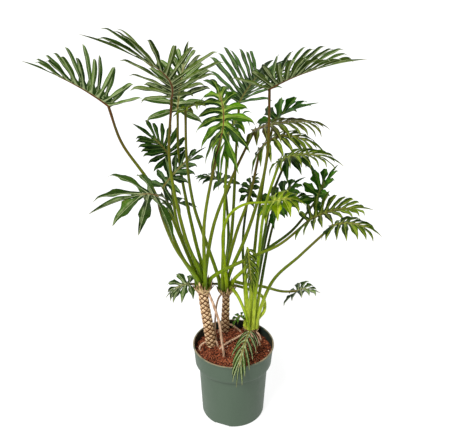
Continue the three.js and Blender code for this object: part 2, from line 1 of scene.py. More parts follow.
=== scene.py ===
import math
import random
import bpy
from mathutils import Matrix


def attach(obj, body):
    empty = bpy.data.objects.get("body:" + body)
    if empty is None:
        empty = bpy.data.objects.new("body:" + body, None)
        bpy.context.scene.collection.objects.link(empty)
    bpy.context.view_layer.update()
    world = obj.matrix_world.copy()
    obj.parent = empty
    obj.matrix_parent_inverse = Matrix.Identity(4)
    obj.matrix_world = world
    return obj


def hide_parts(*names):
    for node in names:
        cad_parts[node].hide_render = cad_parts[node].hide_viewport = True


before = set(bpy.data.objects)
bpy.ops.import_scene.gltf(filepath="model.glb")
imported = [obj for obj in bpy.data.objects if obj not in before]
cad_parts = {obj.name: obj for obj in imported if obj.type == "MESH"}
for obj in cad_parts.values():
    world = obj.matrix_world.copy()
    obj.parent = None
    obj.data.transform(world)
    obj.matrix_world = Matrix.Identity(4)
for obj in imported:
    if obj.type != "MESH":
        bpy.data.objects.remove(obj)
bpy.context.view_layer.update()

# A potted philodendron with three leafy stems in a green nursery pot.
# Tables and shapes are in millimetres, Z up, and become metres when a mesh is made.

from types import SimpleNamespace

import bmesh
import bpy
from mathutils import Vector, noise

MM = 0.001
UP = Vector((0, 0, 1))
SEED = 7
SPLINE_STEPS = 240

# Corners of a box by their signs, and its faces by the numbers of their corners
SIGNS = (-1, 1)
BOX_FACES = [(0, 1, 3, 2), (4, 6, 7, 5), (0, 4, 5, 1), (2, 3, 7, 6), (0, 2, 6, 4), (1, 5, 7, 3)]

# Pot
POT_HEIGHT = 244
LIP_RADIUS = 120
LIP_WIDTH = 4.5
LIP_DEPTH = 5
COLLAR_TOP = 118
COLLAR_FOOT = 113.5
COLLAR_DEPTH = 60
LEDGE_DEPTH = 6
BODY_TOP = 102.5
BODY_FOOT = 94.5
CORNER_RADIUS = 8
WALL = 2.5
SHOULDER = POT_HEIGHT - COLLAR_DEPTH
LEDGE = SHOULDER - LEDGE_DEPTH
POT_SIDES = 180
CORNER_STEPS = 8
BODY_STEPS = 8
COLLAR_STEPS = 6
POT_SHARP = 35
SLOT_COUNT = 3
SLOT_WIDTH = 44
SLOT_HEIGHT = 9
SLOT_DEPTH = 8.5
SLOT_TURN = 8
POT_OUTSIDE = dict(colour=(70, 86, 70), deep=(67, 83, 67), dust=(77, 92, 78))
# The inside is the same plastic painted much darker, painted shade, with some soil dust
POT_INSIDE_PAINTED_SHADE = dict(colour=(34, 46, 38), deep=(26, 34, 28), dust=(60, 56, 46))

# Soil with loose chips and fibres
SOIL_LEVEL = 222
SOIL_RADIUS = 113
SOIL_SWELL = 3
SOIL_EDGE = 9
SOIL_EDGE_DROP = 3
SOIL_BUMPS = 3.5
SOIL_RINGS = 87
SOIL_SIDES = 240
CHIP_COUNT = 1500
CHIP_SIZES = (0.9, 3.4)
CHIP_BORDER = 6
SPECK_SHARE = 0.05
FIBRE_COUNT = 420
FIBRE_LENGTHS = (4, 13)
FIBRE_SIDES = 5
FIBRE_BORDER = 8
FIBRE_RADII = [0.3, 0.45, 0.45, 0.4, 0.25]

# Stems with their net of leaf scars, a crown of husks, a core of young sheaths and roots
SCAR_HEIGHT = 17
SCAR_RELIEF = 1.6
SCAR_GROOVE = 0.12
SCAR_EDGE = 0.445
STEM_FOOT = 188.35
TRUNK_SINK = 9
TRUNK_GAP = 0.4
TRUNK_STEP = 1.1
TRUNK_SIDES = 120
CROWN_RADIUS = 26
CROWN_DEPTH = 26
CORE_RADIUS = 13.1
CORE_SIDES = 72
CORE_STEPS = 30
ROOT_SINK = 10
ROOT_TAPER = 0.8
ROOT_STEPS = 44
ROOT_SIDES = 12
ROOT_RIDGES = 0.22
HUSK_COUNT = 26
HUSK_HEIGHTS = (0.4, 1)
HUSK_WIDTHS = (0.12, 0.28)
HUSK_LEANS = (0.05, 0.35)
HUSK_STEPS = 5
HUSK_THICK = 0.5
HUSK_ACROSS = [-1, -0.5, 0, 0.5, 1]

# Petioles and the rib that carries a blade
RING_RADIUS = 19.6
HEART_RADIUS = 7.1
PETIOLE_FOOT = 6
PETIOLE_END = 3.1
PETIOLE_REACH = 5
PETIOLE_DROP = 0.8
PETIOLE_STEPS = 56
PETIOLE_SIDES = 12
PETIOLE_RIDGES = 0.06
KNEE_SWELL = 0.5
KNEE_PLACE = 0.975
KNEE_LENGTH = 0.015
RIB_FOOT = 2.6
RIB_END = 0.8
RIB_STEPS = 26
RIB_SIDES = 10
RIB_SINK = 0.4
RIB_LENGTH_STEPS = 40
RIB_CROWDING = 1.12

# Lobes of a blade; run goes from 0 at the rib to 1 at the tip, edge from -1 at the rear to 1 in front
NOTCH = 0.13
RUNS = [0, 0.06, NOTCH, 0.19, 0.25, 0.32, 0.39, 0.46, 0.53, 0.6, 0.66, 0.72, 0.78, 0.83, 0.88, 0.92, 0.96, 1]
EDGES = [-1, -0.72, -0.4, -0.12, 0, 0.12, 0.4, 0.72, 1]
BLADE_THICK = 0.9
BLADE_THINNING = 0.6
MIDVEIN_RIDGE = 0.9
LONGEST_AT = 0.4
LOBE_TURN = 3
LOBE_GROWTH = 0.08
LOBE_BOW = 0.12
LOBE_SWELL = 0.62
LOBE_WAIST = 0.42
LOBE_WIDEST = 0.55
LOBE_TAPER = 3
STRAP_TAPER = 6
STRAP_NARROWNESS = 0.1
LOBE_TWIST = 0.5
EXTRA_SAG = 0.3
CURL_START = 0.8
CURL_DROP = 6
CURL_BACK = 0.4
LOBE_ROOM = 0.84
RIB_ROOM = 0.62
SINUS = 0.12
CHANNEL = 0.5
RELIEF_RUN = 0.25
WAVE = 0.16
WAVE_TURNS = 15
TOOTH_PLACE = 0.62
TOOTH_REAR = 0.22
TOOTH_FRONT = 0.07

# The lobe at the end of a rib
TIP_NOTCH = 0.2
END_REACH = 1.1
END_ROOM = 0.32
END_WIDEST = 0.4
END_TAPER = 2.4
END_SAG = 0.8
END_BEND = 1.9
END_BLEND = 0.25
END_CHANNEL = 1.0
END_RELIEF_RUN = 0.3

# Camera
CAMERA_PLACE = (-0.025, -1.6, 1.418)
CAMERA_PITCH = 63.9
CAMERA_LENS = 52.7

# Studio: the walls fade into a dim ceiling between two heights of the view direction
WALL_LIGHT = 1.0
WALL_TOP = 0.34
CEILING_LIGHT = 0.22
CEILING_EDGE = 0.6
FLOOR_HALF = 30
FLOOR_GLOW = 0.86
SUNS = [("key", (38, 0, -32), 3.4, 20), ("back", (-38, 0, 25), 0.9, 45)]

# Each stem stands at foot and leans to crown, whose top is at level; core is the height of the
# youngest sheaths above it, husk the height of the tallest husks and scars their number around
STEMS = {
    "left": dict(foot=(-67, 17), crown=(-87, 2), level=438, core=14, husk=42, radius=14.5, scars=5),
    "back": dict(foot=(-25, 92), crown=(-22, 90), level=376, core=14, husk=36, radius=11.5, scars=4),
    "right": dict(foot=(55, 72), crown=(55, 72), level=252, core=62, husk=18, radius=15, scars=5),
}

# Aerial roots: the stem that they grow from, their radius and the points that they run through
ROOTS = [
    ("left", 4.2, [(-76, 0, 425), (-60, -12, 390), (-42, -22, 330), (-34, -34, 270), (-28, -42, 223)]),
    ("left", 3, [(-70, 14, 236), (-88, 4, 238), (-99, -4, 232), (-101, -8, 223)]),
    ("left", 3, [(-62, 20, 236), (-52, 12, 240), (-46, 4, 223)]),
    ("back", 2.8, [(-30, 88, 366), (-46, 70, 348), (-54, 48, 300), (-54, 30, 262), (-50, 24, 223)]),
    ("back", 3.2, [(-24, 98, 240), (-4, 94, 240), (14, 84, 232), (24, 80, 223)]),
    ("back", 2.8, [(-30, 98, 234), (-40, 86, 232), (-46, 78, 223)]),
    ("right", 3.2, [(60, 66, 240), (76, 52, 238), (84, 40, 223)]),
    ("right", 3.2, [(58, 62, 238), (70, 40, 236), (80, 14, 223)]),
    ("right", 3, [(52, 60, 238), (58, 38, 236), (66, 14, 223)]),
    ("right", 3.4, [(46, 64, 240), (14, 34, 238), (-20, 8, 234), (-40, -6, 223)]),
]

# Leaves. seat is the compass angle round the stem's crown, heart says that the leaf stands on the
# core, rise is how far the petiole stands upright and via are the points that it then runs through.
# joint is where the blade starts and tip is the end of its rib. arch, bend, roll and fold shape
# the blade, lobes counts one side, reach and width size the longest lobe, near and far are the
# share of reach at the rear and the front, back and front are the angles of those lobes, between
# which turn spreads the rest, and droop is how far the lobes hang. teeth is the depth of the teeth,
# and look and stalk name rows of LOOKS and STALKS.
USUAL = dict(
    rise=22, heart=False, arch=4, bend=0, roll=0, fold=10, near=0.75, far=0.7, back=115, front=25,
    turn=0.8, droop=12, teeth=0.2, look="dark", stalk="olive",
)
LEAVES = {
    "upper_left": dict(
        stem="left", seat=195, via=[(-145, -15, 545), (-215, -40, 765), (-280, -55, 885)],
        joint=(-300, -60, 975), tip=(-405, -105, 1060), look="grey", stalk="plum", teeth=0,
        lobes=8, reach=135, width=12, fold=50, far=0.6, back=112, front=18, turn=0.9, droop=4,
    ),
    "top_front": dict(
        stem="left", seat=224, heart=True, via=[(-130, -25, 600), (-165, -35, 830)],
        joint=(-155, -40, 990), tip=(-200, -120, 1095), look="deep", stalk="plum", teeth=0,
        lobes=10, reach=160, width=13, arch=8, bend=23, fold=26, near=0.5, far=0.95,
        front=15, droop=14,
    ),
    "top_back": dict(
        stem="left", seat=80, via=[(-110, 55, 560), (-150, 90, 785)],
        joint=(-150, 80, 922), tip=(-135, 150, 1027), look="deep", teeth=0,
        lobes=7, reach=112, width=17, fold=20, back=110,
    ),
    "olive_small": dict(
        stem="back", seat=185, via=[(-85, 65, 565), (-110, 40, 670), (-122, -28, 834)],
        joint=(-125, -15, 950), tip=(-95, -50, 980), look="olive",
        lobes=4, reach=50, width=14, back=110,
    ),
    "bright_centre": dict(
        stem="left", seat=290, via=[(-80, -40, 650), (-55, -80, 815)],
        joint=(-35, -100, 910), tip=(-38, -52, 1004), look="fresh", stalk="plum", teeth=0.25,
        lobes=7, reach=86, width=17, arch=8, bend=-8, roll=28, fold=-4, near=1.1, far=0.8, back=158,
        front=34, droop=36,
    ),
    "bright_right": dict(
        stem="back", seat=237, via=[(-28, 70, 600), (-22, 35, 775)],
        joint=(-20, 0, 877), tip=(10, 10, 927), look="bright", stalk="green", teeth=0.3,
        lobes=5, reach=72, width=23, near=1.1, back=165, droop=40,
    ),
    "top_centre": dict(
        stem="back", seat=100, heart=True, via=[(-5, 95, 570), (5, 75, 820)],
        joint=(10, 60, 950), tip=(66, 190, 993), look="blue", teeth=0,
        lobes=9, reach=152, width=16, roll=-10, fold=36, far=0.75, back=103, front=44, droop=8,
    ),
    "top_right": dict(
        stem="back", seat=342, heart=True, via=[(30, 50, 560), (60, -5, 700), (78, -98, 882)],
        joint=(76, -60, 1017), tip=(182, -105, 1076), look="deep", stalk="plum", teeth=0,
        lobes=10, reach=122, width=14, fold=33, near=1.2, far=0.9, back=102, front=16,
    ),
    "brown": dict(
        stem="left", seat=342, heart=True, via=[(-55, -5, 635), (-8, -10, 770)],
        joint=(45, 18, 890), tip=(175, -22, 928), look="brown", stalk="plum", teeth=0.1,
        lobes=9, reach=84, width=13, arch=8, roll=-5, fold=6, near=0.6, back=105, front=20,
        turn=0.65, droop=26,
    ),
    "right_dark": dict(
        stem="right", seat=120, heart=True, via=[(66, 95, 570), (80, 104, 700), (95, 108, 820)],
        joint=(102, 112, 884), tip=(147, 122, 912), look="moss", teeth=0.45,
        lobes=5, reach=90, width=20, fold=18, far=0.9, back=125, front=20, droop=6,
    ),
    "olive_droop": dict(
        stem="back", seat=221, heart=True, via=[(10, 38, 600), (40, 8, 710)],
        joint=(60, -26, 853), tip=(168, -54, 893), look="olive", stalk="plum", teeth=0.1,
        lobes=8, reach=80, width=13, arch=22, roll=-8, fold=0, back=122, front=28,
        turn=0.65, droop=24,
    ),
    "light_underside": dict(
        stem="right", seat=285, via=[(70, -5, 565), (76, -114, 744)],
        joint=(100, -136, 864), tip=(185, -171, 894), look="olive", stalk="green", teeth=0.1,
        lobes=8, reach=77, width=13, arch=8, fold=16, far=0.8, back=98, front=20, turn=0.65, droop=24,
    ),
    "dark_arch": dict(
        stem="right", seat=240, heart=True, via=[(85, 46, 575), (100, 20, 705)],
        joint=(130, 20, 805), tip=(185, 35, 805), stalk="dark", teeth=0,
        lobes=5, reach=66, width=16, arch=12, fold=0, droop=24,
    ),
    "star": dict(
        stem="right", seat=0, heart=True, via=[(90, 60, 555)],
        joint=(105, 55, 650), tip=(155, 80, 705), look="moss", stalk="dark", teeth=0.4,
        lobes=5, reach=80, width=21, back=128, front=30,
    ),
    "star_low": dict(
        stem="right", seat=42, via=[(100, 85, 525)],
        joint=(120, 110, 625), tip=(180, 120, 655), look="moss", stalk="dark", teeth=0.4,
        lobes=5, reach=78, width=20, back=120,
    ),
    "young": dict(
        stem="back", seat=275, via=[(-30, 25, 595), (-10, 0, 665), (30, -25, 705)],
        joint=(90, -47, 718), tip=(140, -67, 738), look="lime", stalk="lime", teeth=0.3,
        lobes=5, reach=62, width=20, roll=-15, near=0.7, back=140, front=32, droop=24,
    ),
    "back_dark": dict(
        stem="back", seat=110, via=[(-15, 135, 515)],
        joint=(-20, 150, 690), tip=(-75, 180, 700), stalk="dark",
        lobes=5, reach=66, width=17, near=0.85, back=130,
    ),
    "back_right": dict(
        stem="right", seat=135, via=[(28, 125, 525)],
        joint=(42, 148, 652), tip=(58, 168, 694), stalk="dark",
        lobes=5, reach=46, width=16, near=0.7, back=122,
    ),
    "dark_left": dict(
        stem="left", seat=103, heart=True, via=[(-155, 90, 565)],
        joint=(-180, 118, 782), tip=(-215, 118, 832),
        lobes=7, reach=86, width=13, roll=50, far=0.85, back=95, front=28, droop=6,
    ),
    "blue": dict(
        stem="left", seat=155, via=[(-135, 14, 550), (-170, 30, 640)],
        joint=(-195, 42, 720), tip=(-124, 56, 797), look="blue",
        lobes=6, reach=66, width=16, roll=-42, near=0.8, far=0.9, back=105, front=18, droop=8,
    ),
    "left_fan": dict(
        stem="left", seat=237, via=[(-155, -45, 580), (-185, -95, 705)],
        joint=(-188, -120, 768), tip=(-226, -150, 786), look="deep", stalk="plum", teeth=0.5,
        lobes=4, reach=124, width=20, roll=25, fold=0, near=0.5, far=1.05, back=150, front=22, droop=24,
    ),
    "left_back": dict(
        stem="left", seat=118, via=[(-150, 115, 525)],
        joint=(-190, 150, 620), tip=(-150, 160, 625), stalk="dark",
        lobes=4, reach=64, width=16, front=32,
    ),
    "far_right": dict(
        stem="left", seat=350, via=[(45, -25, 545), (120, -45, 595)],
        joint=(190, -40, 660), tip=(290, -85, 720), look="olive", teeth=0.1,
        lobes=9, reach=84, width=13, arch=8, roll=-20, fold=20, back=112, front=18,
    ),
    "right_upright": dict(
        stem="back", seat=351, via=[(30, 62, 455), (90, 18, 545), (160, 15, 608)],
        joint=(225, 38, 686), tip=(245, 53, 731), look="moss", stalk="dark", teeth=0.4,
        lobes=4, reach=70, width=19, fold=25, far=0.9, droop=4,
    ),
    "right_low": dict(
        stem="right", seat=323, via=[(110, 20, 440), (175, -60, 570)],
        joint=(236, -138, 695), tip=(306, -182, 718), look="olive", teeth=0.1,
        lobes=7, reach=66, width=15, arch=8, roll=-5, fold=4, near=0.6, back=120, droop=16,
    ),
    "small_right": dict(
        stem="back", seat=35, rise=16, via=[(30, 112, 378), (90, 105, 372), (140, 50, 390)],
        joint=(175, -10, 425), tip=(205, -20, 440), look="deep", teeth=0.3,
        lobes=5, reach=52, width=16, near=1, back=138, droop=8,
    ),
    "small_left": dict(
        stem="right", seat=3, via=[(93, 60, 318), (88, 104, 338), (5, 135, 358), (-75, 125, 370)],
        joint=(-130, 115, 375), tip=(-170, 110, 365), look="deep", stalk="dark", teeth=0.3,
        lobes=4, reach=60, width=18, roll=25, back=110,
    ),
    "over_rim": dict(
        stem="back", seat=313, rise=12, via=[(14, 58, 366), (36, 36, 318)],
        joint=(50, -10, 295), tip=(15, -130, 262), look="deep", stalk="green", teeth=0,
        lobes=6, reach=58, width=9, arch=18, fold=5, back=52, front=24, droop=30,
    ),
    "base_dark": dict(
        stem="right", seat=175, via=[],
        joint=(28, 76, 288), tip=(6, 72, 270), look="moss", teeth=0.3,
        lobes=4, reach=28, width=9, droop=4,
    ),
    "hanging": dict(
        stem="right", seat=245, via=[(30, -30, 535)],
        joint=(35, -60, 595), tip=(45, -70, 500), look="olive", stalk="lime",
        lobes=6, reach=46, width=9, arch=0, back=65, front=35,
    ),
}

# Screen colours of a blade: its upper face in shade and in light, its lower face and its veins
LOOKS = {
    "deep": [(4, 24, 0), (74, 110, 32), (92, 114, 38), (188, 200, 146)],
    "dark": [(0, 28, 0), (34, 80, 8), (50, 88, 14), (106, 134, 64)],
    "moss": [(8, 48, 0), (60, 120, 6), (72, 124, 10), (120, 152, 62)],
    "blue": [(4, 26, 2), (52, 88, 34), (62, 90, 32), (128, 152, 98)],
    "grey": [(10, 38, 2), (96, 128, 58), (92, 120, 46), (188, 204, 148)],
    "fresh": [(4, 38, 2), (86, 138, 4), (92, 134, 10), (160, 186, 78)],
    "bright": [(26, 72, 0), (118, 166, 4), (124, 166, 10), (180, 204, 70)],
    "lime": [(70, 102, 0), (166, 188, 8), (156, 178, 14), (210, 218, 90)],
    "olive": [(16, 38, 0), (90, 116, 8), (98, 122, 8), (164, 180, 72)],
    "brown": [(48, 40, 0), (82, 106, 18), (86, 106, 18), (152, 164, 80)],
}

# Looks that stay in shade over more of the blade
DIM = {"fresh": 0.14}

# Where a face starts to be light, the height of its veins, and how rough and shiny it is
UPPER_FACE = dict(start=0.42, groove=-1, roughness=0.28, specular=0.11)
LOWER_FACE = dict(start=0.3, groove=0.6, roughness=0.5, specular=0.05)

# Tint of the sheen on living tissue
WAXY = (0.86, 1.0, 0.5, 1.0)

# Stalk colours at the foot, in the middle, below the blade and along the rib
STALKS = {
    "plum": [(110, 136, 8), (100, 112, 16), (80, 46, 22), (102, 52, 30)],
    "green": [(126, 150, 6), (120, 146, 8), (106, 122, 16), (106, 94, 28)],
    "olive": [(108, 134, 8), (92, 106, 14), (84, 76, 20), (100, 82, 30)],
    "dark": [(162, 184, 34), (54, 74, 8), (42, 40, 12), (56, 48, 18)],
    "lime": [(148, 172, 8), (138, 162, 6), (130, 150, 12), (146, 156, 36)],
}


def lerp(start, end, share):
    return start + (end - start) * share


def clamp(value, low=0.0, high=1.0):
    return min(max(value, low), high)


def smooth(value):
    share = clamp(value)
    return share * share * (3 - 2 * share)


def vary(seed):
    """A repeatable value from -1 to 1 for the small differences between lobes."""
    wave = math.sin(seed * 12.9898) * 43758.5453
    return 2 * (wave - math.floor(wave)) - 1


def shares(steps):
    """Even steps from 0 to 1."""
    return [step / steps for step in range(steps + 1)]


def angles(count):
    """Even steps once round, without the last."""
    return [2 * math.pi * step / count for step in range(count)]


def spoke(angle):
    """The level direction at an angle."""
    return Vector((math.cos(angle), math.sin(angle), 0))


def between(start, end, steps):
    """Points at even steps from start to end, without the start."""
    return [(lerp(start[0], end[0], share), lerp(start[1], end[1], share)) for share in shares(steps)[1:]]


def path_length(places):
    return sum((after - before).length for before, after in zip(places, places[1:]))


# Curves

class Spline:
    """A centripetal spline through a list of points."""

    def __init__(self, points):
        self.points = [Vector(point) for point in points]

    def at(self, share):
        last = len(self.points) - 1
        place = clamp(share) * last
        index = min(int(place), last - 1)
        t = place - index
        p1 = self.points[index]
        p2 = self.points[index + 1]
        p0 = self.points[index - 1] if index > 0 else 2 * p1 - p2
        p3 = self.points[index + 2] if index + 2 <= last else 2 * p2 - p1
        d0, d1, d2 = [math.sqrt((after - before).length) for before, after in ((p0, p1), (p1, p2), (p2, p3))]
        m1 = ((p1 - p0) / d0 - (p2 - p0) / (d0 + d1) + (p2 - p1) / d1) * d1
        m2 = ((p2 - p1) / d1 - (p3 - p1) / (d1 + d2) + (p3 - p2) / d2) * d1
        square = t * t
        cube = square * t
        start = (2 * cube - 3 * square + 1) * p1 + (cube - 2 * square + t) * m1
        return start + (3 * square - 2 * cube) * p2 + (cube - square) * m2

    def spaced(self, count):
        """Points at even distances along the curve."""
        fine = [self.at(share) for share in shares(SPLINE_STEPS)]
        lengths = [0.0]
        for before, after in zip(fine, fine[1:]):
            lengths.append(lengths[-1] + (after - before).length)
        result = []
        step = 0
        for share in shares(count):
            wanted = lengths[-1] * share
            while step < SPLINE_STEPS - 1 and lengths[step + 1] < wanted:
                step += 1
            part = (wanted - lengths[step]) / max(lengths[step + 1] - lengths[step], 1e-9)
            result.append(fine[step].lerp(fine[step + 1], clamp(part)))
        return result


class Rib:
    """The arched rib of a blade, with its directions along, across and up."""

    def __init__(self, leaf):
        self.roll = math.radians(leaf.roll)
        self.fold = math.radians(leaf.fold)
        self.foot = Vector(leaf.joint)
        self.end = Vector(leaf.tip)
        along = (self.end - self.foot).normalized()
        lift = (UP - along * along.dot(UP)).normalized()
        aside = along.cross(UP).normalized()
        self.middle = (self.foot + self.end) / 2 + lift * 2 * leaf.arch - aside * 2 * leaf.bend
        self.length = path_length([self.at(share) for share in shares(RIB_LENGTH_STEPS)])

    def at(self, share):
        rest = 1 - share
        return rest * rest * self.foot + 2 * rest * share * self.middle + share * share * self.end

    def frame(self, share):
        along = ((1 - share) * (self.middle - self.foot) + share * (self.end - self.middle)).normalized()
        level = along.cross(UP).normalized()
        rise = level.cross(along).normalized()
        across = level * math.cos(self.roll) + rise * math.sin(self.roll)
        return along, across, across.cross(along).normalized()

    def outward(self, share, side):
        """The direction in which the folded blade leaves the rib on one side."""
        _, across, up = self.frame(share)
        return across * (side * math.cos(self.fold)) + up * math.sin(self.fold)


# Meshes

def add_object(name, data):
    made = bpy.data.objects.new(name, data)
    bpy.context.scene.collection.objects.link(made)
    return made


class Build:
    """Collects the points and faces of one piece, with the numbers that its materials read."""

    def __init__(self):
        self.points = []
        self.detail = []
        self.tone = []
        self.faces = []
        self.slots = []

    def point(self, place, detail=(0, 0, 0), tone=0.0):
        self.points.append(place)
        self.detail.append(detail)
        self.tone.append(tone)
        return len(self.points) - 1

    def face(self, corners, slot=0):
        self.faces.append(corners)
        self.slots.append(slot)

    def circle(self, radius, height, sides):
        """A level row of points round the pot's axis."""
        return [self.point(spoke(angle) * radius + UP * height) for angle in angles(sides)]

    def grid(self, rows, slot=0, around=False, flip=False):
        """Faces between rows of points; around closes each row on itself."""
        for lower, upper in zip(rows, rows[1:]):
            count = len(lower)
            for i in range(count if around else count - 1):
                n = (i + 1) % count
                corners = (lower[i], lower[n], upper[n], upper[i])
                self.face(corners[::-1] if flip else corners, slot)

    def sheet(self, ups, acrosses, spot, slot=0, around=False, flip=False):
        """A grid of faces whose points spot gives, each with its detail and tone."""
        rows = [[self.point(*spot(up, across)) for across in acrosses] for up in ups]
        self.grid(rows, slot, around, flip)
        return rows

    def fan(self, centre, row, slot=0):
        """Faces from a centre to a closed row."""
        for here, after in zip(row, row[1:] + row[:1]):
            self.face((centre, here, after), slot)

    def box(self, corner, tone=0.0):
        """Six faces between eight corners, which corner places by three signs."""
        corners = [self.point(corner(a, b, c), tone=tone) for a in SIGNS for b in SIGNS for c in SIGNS]
        for face in BOX_FACES:
            self.face([corners[number] for number in face])

    def tube(self, places, radii, sides, slot=0, tone=0.0, ridges=0.0, start=0.0):
        """A tube through places; ridges makes it uneven, and its detail runs on by 1 from start."""
        rows = []
        side = None
        last = len(places) - 1
        for i, place in enumerate(places):
            ahead = (places[min(i + 1, last)] - places[max(i - 1, 0)]).normalized()
            if side is None:
                side = ahead.orthogonal().normalized()
            side = (side - ahead * side.dot(ahead)).normalized()
            other = ahead.cross(side)
            row = []
            for angle in angles(sides):
                radius = radii[i]
                if ridges:
                    radius *= 1 + ridges * noise.noise(place * 0.09 + spoke(angle) * 1.3)
                out = side * math.cos(angle) + other * math.sin(angle)
                row.append(self.point(place + out * radius, (0, 0, start + i / last), tone))
            rows.append(row)
        self.grid(rows, slot, around=True)
        self.fan(self.point(places[0], (0, 0, start), tone), rows[0][::-1], slot)
        self.fan(self.point(places[-1], (0, 0, start + 1), tone), rows[-1], slot)

    def mesh(self, name):
        made = bpy.data.meshes.new(name)
        made.from_pydata([point * MM for point in self.points], [], self.faces)
        return made

    def piece(self, name, node, slot, materials, weld=0.0, sharp=50):
        """Makes the object, which stands for the CAD node."""
        mesh = self.mesh(name)
        for material in materials:
            mesh.materials.append(material)
        mesh.polygons.foreach_set("material_index", self.slots)
        detail = mesh.attributes.new("detail", "FLOAT_VECTOR", "POINT")
        detail.data.foreach_set("vector", [value for triple in self.detail for value in triple])
        tone = mesh.attributes.new("tone", "FLOAT", "POINT")
        tone.data.foreach_set("value", self.tone)
        if weld:
            close_seams(mesh, weld * MM)
        mesh.polygons.foreach_set("use_smooth", [True] * len(mesh.polygons))
        mesh.set_sharp_from_angle(angle=math.radians(sharp))
        mesh.validate()
        piece = add_object(name, mesh)
        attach(piece, "root")
        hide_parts(node)
        return piece


def close_seams(mesh, distance):
    """Joins points that lie together and drops the faces that this closes."""
    body = bmesh.new()
    body.from_mesh(mesh)
    bmesh.ops.remove_doubles(body, verts=body.verts, dist=distance)
    bmesh.ops.dissolve_degenerate(body, dist=distance / 4, edges=body.edges)
    body.to_mesh(mesh)
    body.free()


# Materials

def linear(colour):
    """A screen colour from 0 to 255 as linear light."""
    values = []
    for channel in colour:
        share = channel / 255
        values.append(share / 12.92 if share <= 0.04045 else ((share + 0.055) / 1.055) ** 2.4)
    return (*values, 1.0)


class Shader:
    """A material whose sockets are set with plain values or with other nodes' outputs."""

    def __init__(self, name, **values):
        self.material = bpy.data.materials.new(name)
        self.material.use_nodes = True
        self.tree = self.material.node_tree
        self.tree.nodes.clear()
        output = self.tree.nodes.new("ShaderNodeOutputMaterial")
        self.surface = self.tree.nodes.new("ShaderNodeBsdfPrincipled")
        self.tree.links.new(self.surface.outputs[0], output.inputs[0])
        self.fill(self.surface, values)

    def fill(self, node, values):
        for key, value in values.items():
            name = key.replace("_", " ") if isinstance(key, str) else key
            socket = node.inputs[name]
            if isinstance(value, bpy.types.NodeSocket):
                self.tree.links.new(value, socket)
            else:
                socket.default_value = value

    def done(self, **values):
        """Sets the last sockets of the surface and gives the material."""
        self.fill(self.surface, values)
        return self.material

    def node(self, kind, inputs, **properties):
        made = self.tree.nodes.new("ShaderNode" + kind)
        for key, value in properties.items():
            setattr(made, key, value)
        self.fill(made, inputs)
        return made

    def math(self, operation, *values):
        return self.node("Math", dict(enumerate(values)), operation=operation).outputs[0]

    def times(self, first, second):
        return self.math("MULTIPLY", first, second)

    def plus(self, first, second):
        return self.math("ADD", first, second)

    def span(self, value, low, high, most=1.0):
        """0 below low and most above high, smooth between; the other way round where low is larger."""
        inputs = {0: value, 1: low, 2: high, 4: most}
        return self.node("MapRange", inputs, interpolation_type="SMOOTHSTEP").outputs[0]

    def mix(self, share, first, second):
        """A mix of two colours, each a screen colour or the output of a node."""
        inputs = {0: share}
        for index, colour in ((6, first), (7, second)):
            inputs[index] = linear(colour) if isinstance(colour, tuple) else colour
        return self.node("Mix", inputs, data_type="RGBA").outputs[2]

    def coats(self, colour, *coats):
        """A colour under coats of others, each with the share that it covers."""
        for other, share in coats:
            colour = self.mix(share, colour, other)
        return colour

    def detail(self):
        read = self.node("Attribute", {}, attribute_name="detail")
        return self.node("SeparateXYZ", {0: read.outputs["Vector"]}).outputs[:3]

    def tone(self):
        return self.node("Attribute", {}, attribute_name="tone").outputs["Fac"]

    def place(self, stretch=(1, 1, 1)):
        where = self.node("TexCoord", {}).outputs["Object"]
        return self.node("Mapping", {"Vector": where, "Scale": stretch}).outputs[0]

    def height(self):
        return self.node("SeparateXYZ", {0: self.place()}).outputs[2]

    def noise(self, scale, detail, stretch=(1, 1, 1)):
        inputs = {"Scale": scale, "Detail": detail, "Vector": self.place(stretch)}
        return self.node("TexNoise", inputs).outputs["Fac"]

    def bump(self, height, distance, strength):
        return self.node("Bump", {"Height": height, "Distance": distance, "Strength": strength}).outputs[0]


def blade_surface(name, shade, light, vein, dim, start, groove, roughness, specular):
    """One face of a blade: side veins, a pale midvein, a painted sheen along the front half of each lobe,
    and painted shade beside the midvein, over the rear halves and at the feet.
    """
    shader = Shader(name, Roughness=roughness, Specular_IOR_Level=specular, Specular_Tint=WAXY)
    signed, along, half = shader.detail()
    across = shader.math("ABSOLUTE", signed)
    share = shader.math("DIVIDE", signed, shader.math("MAXIMUM", half, 0.6))
    patches = shader.noise(38, 3)
    flecks = shader.noise(420, 2)
    bright = shader.plus(shader.times(patches, 0.9), shader.times(shader.tone(), 0.55))
    slant = shader.math("SUBTRACT", along, shader.times(across, 1.2))
    side_vein = shader.span(shader.math("PINGPONG", slant, 2.6), 0.45, 0.0)
    midvein = shader.span(across, 1.3, 0.3)
    # A painted sheen: a pale stripe along the front half of each lobe, broken up by the patches
    away = shader.math("ABSOLUTE", shader.math("SUBTRACT", share, 0.42))
    painted_sheen = shader.times(shader.span(away, 0.34, 0.04, 0.5), shader.span(patches, 0.35, 0.62))
    green = shader.coats(
        shade,
        (light, shader.span(bright, start + dim, start + dim + 0.53)),
        (vein, shader.times(side_vein, 0.18)),
        # painted shade in the valley beside the midvein
        (shade, shader.span(across, 4.5, 1.2, 0.4)),
        # painted shade over the rear half of each lobe
        (shade, shader.span(share, 0.25, -0.45, 0.6)),
        # painted shade at the foot of each lobe, near the rib
        (shade, shader.span(along, 38, 4, 0.6)),
        # the painted sheen
        (vein, painted_sheen),
        (vein, shader.times(midvein, 0.6)),
        (shade, shader.span(flecks, 0.5, 0.72, 0.18)),
        (shade, shader.span(shader.math("ABSOLUTE", share), 0.8, 1.0, 0.4)),
        ((120, 104, 58), shader.span(half, 2.0, 0.2, 0.7)),
    )
    relief = shader.plus(shader.times(side_vein, groove / 3), shader.times(midvein, groove))
    relief = shader.plus(relief, shader.times(flecks, 0.5))
    rough = shader.plus(roughness, shader.times(patches, 0.22))
    return shader.done(Base_Color=green, Roughness=rough, Normal=shader.bump(relief, 0.0011, 0.9))


